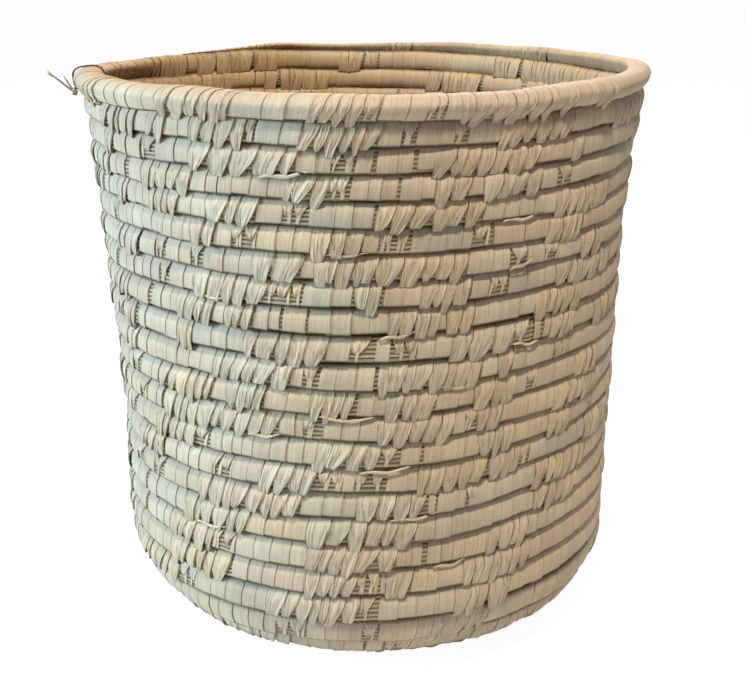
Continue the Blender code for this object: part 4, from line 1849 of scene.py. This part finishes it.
@dataclass
class RimTie:
    """The two-strand string tied round the rim, with its knot and two loose tails."""

    coil: Coil
    string_radius: float = 0.60 * MM
    strands: int = 2
    lay_length: float = 3.4 * MM
    step: float = 0.35 * MM
    sides: int = 8
    strand_offset: float = 0.52
    strand_share: float = 0.56
    room: float = 0.95 * MM
    side_room: float = 1.2 * MM
    squareness: float = 0.667
    frame_tilt: tuple[float, float, float] = (0.02, 0.01, 0.05)
    end_share: float = 0.1
    knot_radius: float = 3.0 * MM
    knot_angle: float = math.radians(-38)
    knot_light: float = 0.9
    tails: tuple[TieTail, ...] = (
        TieTail("rim_string_long_tail", "rim_tie_long_tail", 17 * MM, 14 * MM, 4 * MM, 3),
        TieTail("rim_string_short_tail", "rim_tie_short_tail", 6.5 * MM, 10 * MM, -4 * MM, 2),
    )
    tail_bow: float = 1.5 * MM
    tail_light: float = 0.35
    fray_gap: float = 1.6 * MM
    fray_share: float = 0.55
    fray_light: float = 0.6

    def __post_init__(self) -> None:
        """Find the directions along the coil, out of it and up at the tie."""
        angle = self.coil.sizes.tie_angle
        self._across = np.array([-math.sin(angle), math.cos(angle), 0.0])
        self._outward = np.array([self._across[1], -self._across[0], 0.0])
        self._up = np.array([0.0, 0.0, 1.0])

    def _round_rim(self, angle: Array, extra: float = 0.0) -> Array:
        """Find points round the rim's section.

        Args:
            angle: Their angles from the outside towards the top.
            extra: How much further out they lie than the string does.

        Returns:
            The points.
        """
        turn = np.full(len(angle), self.coil.sizes.tie_turn)
        half_height, half_depth = self.coil.half_sizes(turn)
        rise = np.sign(np.sin(angle)) * np.abs(np.sin(angle)) ** self.squareness
        reach = np.sign(np.cos(angle)) * np.abs(np.cos(angle)) ** self.squareness
        up = rise * (half_height + self.room + extra)
        out = reach * (half_depth + self.room + self.side_room / 2 + extra)
        return self.coil.place(turn, up, out)

    def _frame(self, path: Array) -> tuple[Array, Array]:
        """Find the two directions square to a path at each of its points.

        Args:
            path: The points.

        Returns:
            One direction and the other.
        """
        tangent = np.gradient(path, axis=0)
        tangent /= np.linalg.norm(tangent, axis=1, keepdims=True)
        side = np.cross(tangent, self._across + np.array(self.frame_tilt))
        side /= np.linalg.norm(side, axis=1, keepdims=True)
        return side, np.cross(tangent, side)

    def _tube(self, path: Array, radius: float, parts: MeshParts, light: float) -> None:
        """Sweep a round strand along a path.

        Args:
            path: The points of its middle line.
            radius: Its radius.
            parts: Where the grid is collected.
            light: Its lightness.
        """
        side, other = self._frame(path)
        around = np.linspace(0, TAU, self.sides + 1)[:, None, None]
        taper = np.ones(len(path))
        taper[[0, -1]] = self.end_share
        ring = (np.cos(around) * side[None] + np.sin(around) * other[None]) * taper[None, :, None]
        points = path[None] + ring * radius
        run = run_along(path)[None, :]
        uv = np.stack(np.broadcast_arrays(around[..., 0] * radius, run), axis=-1)
        parts.add_grids(points[None], uv[None], np.array((0.5, light, 0.0, 1.0)))

    def _string(self, path: Array, radius: float, parts: MeshParts, light: float) -> None:
        """Sweep twisted strands along a path.

        Args:
            path: The points of the string's middle line.
            radius: The string's radius.
            parts: Where the grids are collected.
            light: Its lightness.
        """
        run = run_along(path)
        fine = np.linspace(0, run[-1], max(int(run[-1] / self.step), 8))
        smooth = np.stack([np.interp(fine, run, column) for column in path.T], axis=-1)
        side, other = self._frame(smooth)
        for strand in range(self.strands):
            phase = (TAU * (fine / self.lay_length + strand / self.strands))[:, None]
            turned = np.cos(phase) * side + np.sin(phase) * other
            offset = radius * self.strand_offset * turned
            self._tube(smooth + offset, radius * self.strand_share, parts, light)

    def build_loop(self, finish: Material) -> Piece:
        """Make the loop round the rim.

        Args:
            finish: Its material.

        Returns:
            The object.
        """
        parts = MeshParts()
        angle = np.linspace(0, TAU, 90) + self.knot_angle
        for shift, extra in ((-0.75 * MM, 0.0), (0.75 * MM, 0.25 * MM)):
            drift = (np.sin(angle * 2 + shift * 900) * 0.35 * MM + shift)[:, None]
            path = self._round_rim(angle, extra) + self._across * drift
            self._string(path, self.string_radius, parts, 0.0)
        return parts.build("rim_string_loop", finish)

    def _knot_place(self) -> Array:
        """Middle of the knot."""
        return self._round_rim(np.array([self.knot_angle]), self.knot_radius)[0]

    def build_knot(self, finish: Material) -> Piece:
        """Make the knot from one strand wound over and under itself, round a small ball.

        Args:
            finish: Its material.

        Returns:
            The object.
        """
        parts = MeshParts()
        across, outward, up = self._across, self._outward, self._up
        at = np.linspace(0, TAU, 120)[:, None]
        radius = self.knot_radius - self.string_radius
        x = (np.sin(at) + 2 * np.sin(2 * at)) / 3 * radius
        y = (np.cos(at) - 2 * np.cos(2 * at)) / 3 * radius
        z = -np.sin(3 * at) * radius * 0.45
        path = self._knot_place() + x * across + y * up + z * outward
        self._string(path, self.string_radius * 1.9, parts, self.knot_light)
        bearing = np.linspace(0, TAU, 17)[:, None, None]
        fall = np.linspace(POLE_GAP, math.pi - POLE_GAP, 9)[None, :, None]
        level = np.sin(fall) * np.cos(bearing) * across + np.sin(fall) * np.sin(bearing) * outward
        ball = (level + np.cos(fall) * up) * radius * 0.75 + self._knot_place()
        uv = np.concatenate(np.broadcast_arrays(bearing * radius, fall * radius), axis=-1)
        parts.add_grids(ball[None], uv[None], np.array((0.5, self.knot_light, 0.0, 1.0)))
        return parts.build("rim_string_knot", finish)

    def build_tail(self, tail: TieTail, finish: Material) -> Piece:
        """Make one loose tail, frayed at its end.

        Args:
            tail: The tail.
            finish: Its material.

        Returns:
            The object.
        """
        parts = MeshParts()
        across, outward, up = self._across, self._outward, self._up
        at = np.linspace(0, 1, 24)[:, None]
        start = self._knot_place() + outward * self.knot_radius * 0.4
        path = (start + outward * tail.reach * at + up * (tail.rise * at**1.3)
                + across * tail.aside * at + up * self.tail_bow * np.sin(math.pi * at))
        self._string(path[:17], self.string_radius * 1.25, parts, self.tail_light)
        ease = np.clip((at - 0.62) / 0.38, 0, 1)
        for fray in range(tail.frays):
            spread = (fray - (tail.frays - 1) / 2) * self.fray_gap
            strand = path + (up * spread + across * spread * 0.6) * ease**1.4
            self._tube(strand[14:], self.string_radius * self.fray_share, parts, self.fray_light)
        return parts.build(tail.name, finish)


@dataclass(frozen=True)
class Lamp:
    """One square softbox, aimed at a point."""

    name: str
    place: Place
    target: Place
    size: float
    power: float
    colour: Colour

    def add(self) -> None:
        """Hang the lamp."""
        data = bpy.data.lights.new(self.name, "AREA")
        data.shape = "SQUARE"
        data.size = self.size
        data.energy = self.power
        data.color = self.colour
        lamp = bpy.data.objects.new(self.name, data)
        lamp.location = self.place
        aim = Vector(self.target) - Vector(self.place)
        lamp.rotation_euler = aim.to_track_quat("-Z", "Y").to_euler()
        bpy.context.collection.objects.link(lamp)


MIDDLE: Place = (0.0, 0.0, 0.22)
LAMPS = (
    Lamp("key", (0.13, -0.92, 2.40), MIDDLE, 0.20, 76.0, (1.0, 0.905, 0.765)),
    Lamp("window", (-2.0, -0.48, 0.85), (-0.1, 0, 0.2), 0.8, 84.0, (0.53, 0.79, 1.0)),
    Lamp("right", (1.9, -1.2, 0.7), MIDDLE, 1.4, 3.0, (1.0, 0.80, 0.60)),
    Lamp("behind", (0.3, 1.9, 1.3), MIDDLE, 1.4, 18.0, (1.0, 0.95, 0.90)),
)


@dataclass
class Studio:
    """Camera, lamps, floor and white surroundings."""

    frame_width: float = 745.0
    focal_pixels: float = 1203.0
    axis_pixel: float = 369.1
    middle_pixel: float = 372.5
    sensor_width_mm: float = 36.0
    distance: float = 934 * MM
    eye_height: float = 505.3 * MM
    pitch: float = math.radians(18.66)
    roll: float = math.radians(0.427)
    ambient_colour: Colour = (1.0, 0.94, 0.85)
    ambient_power: float = 0.115
    floor_reach: float = 60.0
    floor_drop: float = -0.5 * MM
    floor_colour: Colour = (0.86, 0.86, 0.86)
    floor_roughness: float = 0.9
    floor_glow: float = 1.12
    floor_glow_share: float = 0.86

    def add_camera(self) -> None:
        """Put the camera where the photograph was taken from."""
        data = bpy.data.cameras.new("camera")
        data.sensor_width = self.sensor_width_mm
        data.lens = self.sensor_width_mm * self.focal_pixels / self.frame_width
        data.clip_start = 0.01
        data.clip_end = 200
        camera = bpy.data.objects.new("camera", data)
        yaw = math.atan((self.axis_pixel - self.middle_pixel) / self.focal_pixels)
        turn = Matrix.Rotation(yaw, 4, "Z") @ Matrix.Rotation(math.pi / 2 - self.pitch, 4, "X")
        camera.matrix_world = (Matrix.Translation((0, -self.distance, self.eye_height)) @ turn
                               @ Matrix.Rotation(self.roll, 4, "Z"))
        bpy.context.collection.objects.link(camera)
        bpy.context.scene.camera = camera

    @staticmethod
    def add_lights() -> None:
        """Light the basket from above, cooler on the left and warmer on the right."""
        for lamp in LAMPS:
            lamp.add()

    def add_surroundings(self) -> None:
        """Make a world that is white to the camera and plain and pale to the basket."""
        world = bpy.data.worlds.new("surroundings")
        bpy.context.scene.world = world
        world.use_nodes = True
        tree = world.node_tree
        build = NodeBuilder(tree)
        ambient = tree.nodes["Background"]
        ambient.inputs[0].default_value = (*self.ambient_colour, 1)
        ambient.inputs[1].default_value = self.ambient_power
        white = build.add("ShaderNodeBackground")
        white.inputs[0].default_value = (1, 1, 1, 1)
        white.inputs[1].default_value = 1.0
        path = build.add("ShaderNodeLightPath")
        seen = build.math("MAXIMUM", path.outputs["Is Camera Ray"], path.outputs["Is Glossy Ray"])
        seen = build.math("MAXIMUM", seen, path.outputs["Is Transmission Ray"])
        mixed = build.mix_shaders(seen, ambient.outputs[0], white.outputs[0])
        build.link(mixed, tree.nodes["World Output"].inputs[0])

    def add_floor(self) -> None:
        """Lay a wide white floor just under the basket, clear when seen from below."""
        reach, drop = self.floor_reach, self.floor_drop
        mesh = bpy.data.meshes.new("floor")
        corners = [(-reach, -reach, drop), (reach, -reach, drop), (reach, reach, drop),
                   (-reach, reach, drop)]
        mesh.from_pydata(corners, [], [(0, 1, 2, 3)])
        floor = bpy.data.objects.new("floor", mesh)
        bpy.context.collection.objects.link(floor)
        mesh.materials.append(self._floor_finish())

    def _floor_finish(self) -> Material:
        """White paper that glows a little to the camera, so only the shadow shows."""
        made = bpy.data.materials.new("floor")
        made.use_nodes = True
        tree = made.node_tree
        build = NodeBuilder(tree)
        shader = tree.nodes["Principled BSDF"]
        shader.inputs["Base Color"].default_value = (*self.floor_colour, 1)
        shader.inputs["Roughness"].default_value = self.floor_roughness
        glow = build.add("ShaderNodeEmission")
        glow.inputs[1].default_value = self.floor_glow
        path = build.add("ShaderNodeLightPath")
        share = build.math("MULTIPLY", path.outputs["Is Camera Ray"], self.floor_glow_share)
        paper = build.mix_shaders(share, shader.outputs[0], glow.outputs[0])
        clear = build.add("ShaderNodeBsdfTransparent")
        side = build.add("ShaderNodeNewGeometry")
        both = build.mix_shaders(side.outputs["Backfacing"], paper, clear.outputs[0])
        build.link(both, tree.nodes["Material Output"].inputs[0])
        return made


class Basket:
    """Builds every visible piece of the basket."""

    SEED = 20

    def __init__(self, coil: Coil, effects: Effects) -> None:
        """Prepare the finishes.

        Args:
            coil: The coil that everything lies on.
            effects: Node groups shared by the finishes.
        """
        self.coil = coil
        self.rng = np.random.default_rng(self.SEED)
        self.leaf = LeafFinish().build(effects)
        self.stalk = StalkFinish().build(effects)
        self.string = StringFinish().build(effects)

    @staticmethod
    def settle(piece: Piece, slot: Slot, *nodes: str) -> None:
        """Let a piece ride on the basket and stand for solid nodes.

        Args:
            piece: The piece.
            slot: The record's slot; not used.
            *nodes: Solid nodes that it stands for.
        """
        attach(piece, "root")
        if nodes:
            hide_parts(*nodes)
        LOG.info("%s: %d faces", piece.name, len(piece.data.polygons))

    def add_binding(self) -> None:
        """Bind every turn of the coil with leaf."""
        sizes = self.coil.sizes
        weaver = Weaver(self.coil, self.rng)
        for turn in range(sizes.turns):
            if turn < sizes.base_turns:
                name, node, slot = f"base_leaf_{turn + 1}", f"base_binding_{turn + 1}", Slot.BASE
            elif turn < sizes.rim_turn:
                number = f"{turn - sizes.base_turns + 1:02d}"
                name, node, slot = f"wall_leaf_{number}", f"wall_binding_{number}", Slot.LEAF
            else:
                name, node, slot = "rim_leaf", "rim_binding", Slot.RIM
            parts = MeshParts()
            weaver.mesh_strips(weaver.plan_course(turn), parts)
            for tail in LOOSE_TAILS:
                if tail.turn == turn:
                    weaver.add_tail(tail, parts)
            self.settle(parts.build(name, self.leaf), slot, node)

    def add_stalks(self) -> None:
        """Run the stalk bundle through the binding."""
        sizes = self.coil.sizes
        bundle = StalkBundle(self.coil)
        base = bundle.build("stalks_base", sizes.start_turn, sizes.base_turns, self.stalk)
        self.settle(base, Slot.STALK, "stalk_core_base")
        wall = bundle.build("stalks_wall", sizes.base_turns, sizes.turns, self.stalk)
        self.settle(wall, Slot.STALK, "stalk_core_wall")

    def add_start_knot(self) -> None:
        """Gather the leaf in the middle of the base."""
        self.settle(StartKnot(self.coil).build(self.leaf), Slot.BASE, "start_knot")

    def add_rim_tie(self) -> None:
        """Tie the string round the rim."""
        tie = RimTie(self.coil)
        self.settle(tie.build_loop(self.string), Slot.STRING, "rim_tie_loop")
        self.settle(tie.build_knot(self.string), Slot.STRING, "rim_tie_knot")
        for tail in tie.tails:
            self.settle(tie.build_tail(tail, self.string), Slot.STRING, tail.node)


def main() -> None:
    """Build the scene."""
    logging.basicConfig(level=logging.INFO)
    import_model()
    bpy.context.scene.view_settings.view_transform = "Standard"
    studio = Studio()
    studio.add_camera()
    coil = Coil(CoilSizes())
    basket = Basket(coil, Effects())
    basket.add_binding()
    basket.add_stalks()
    basket.add_start_knot()
    basket.add_rim_tie()
    studio.add_lights()
    studio.add_surroundings()
    studio.add_floor()


if __name__ == "__main__":
    main()
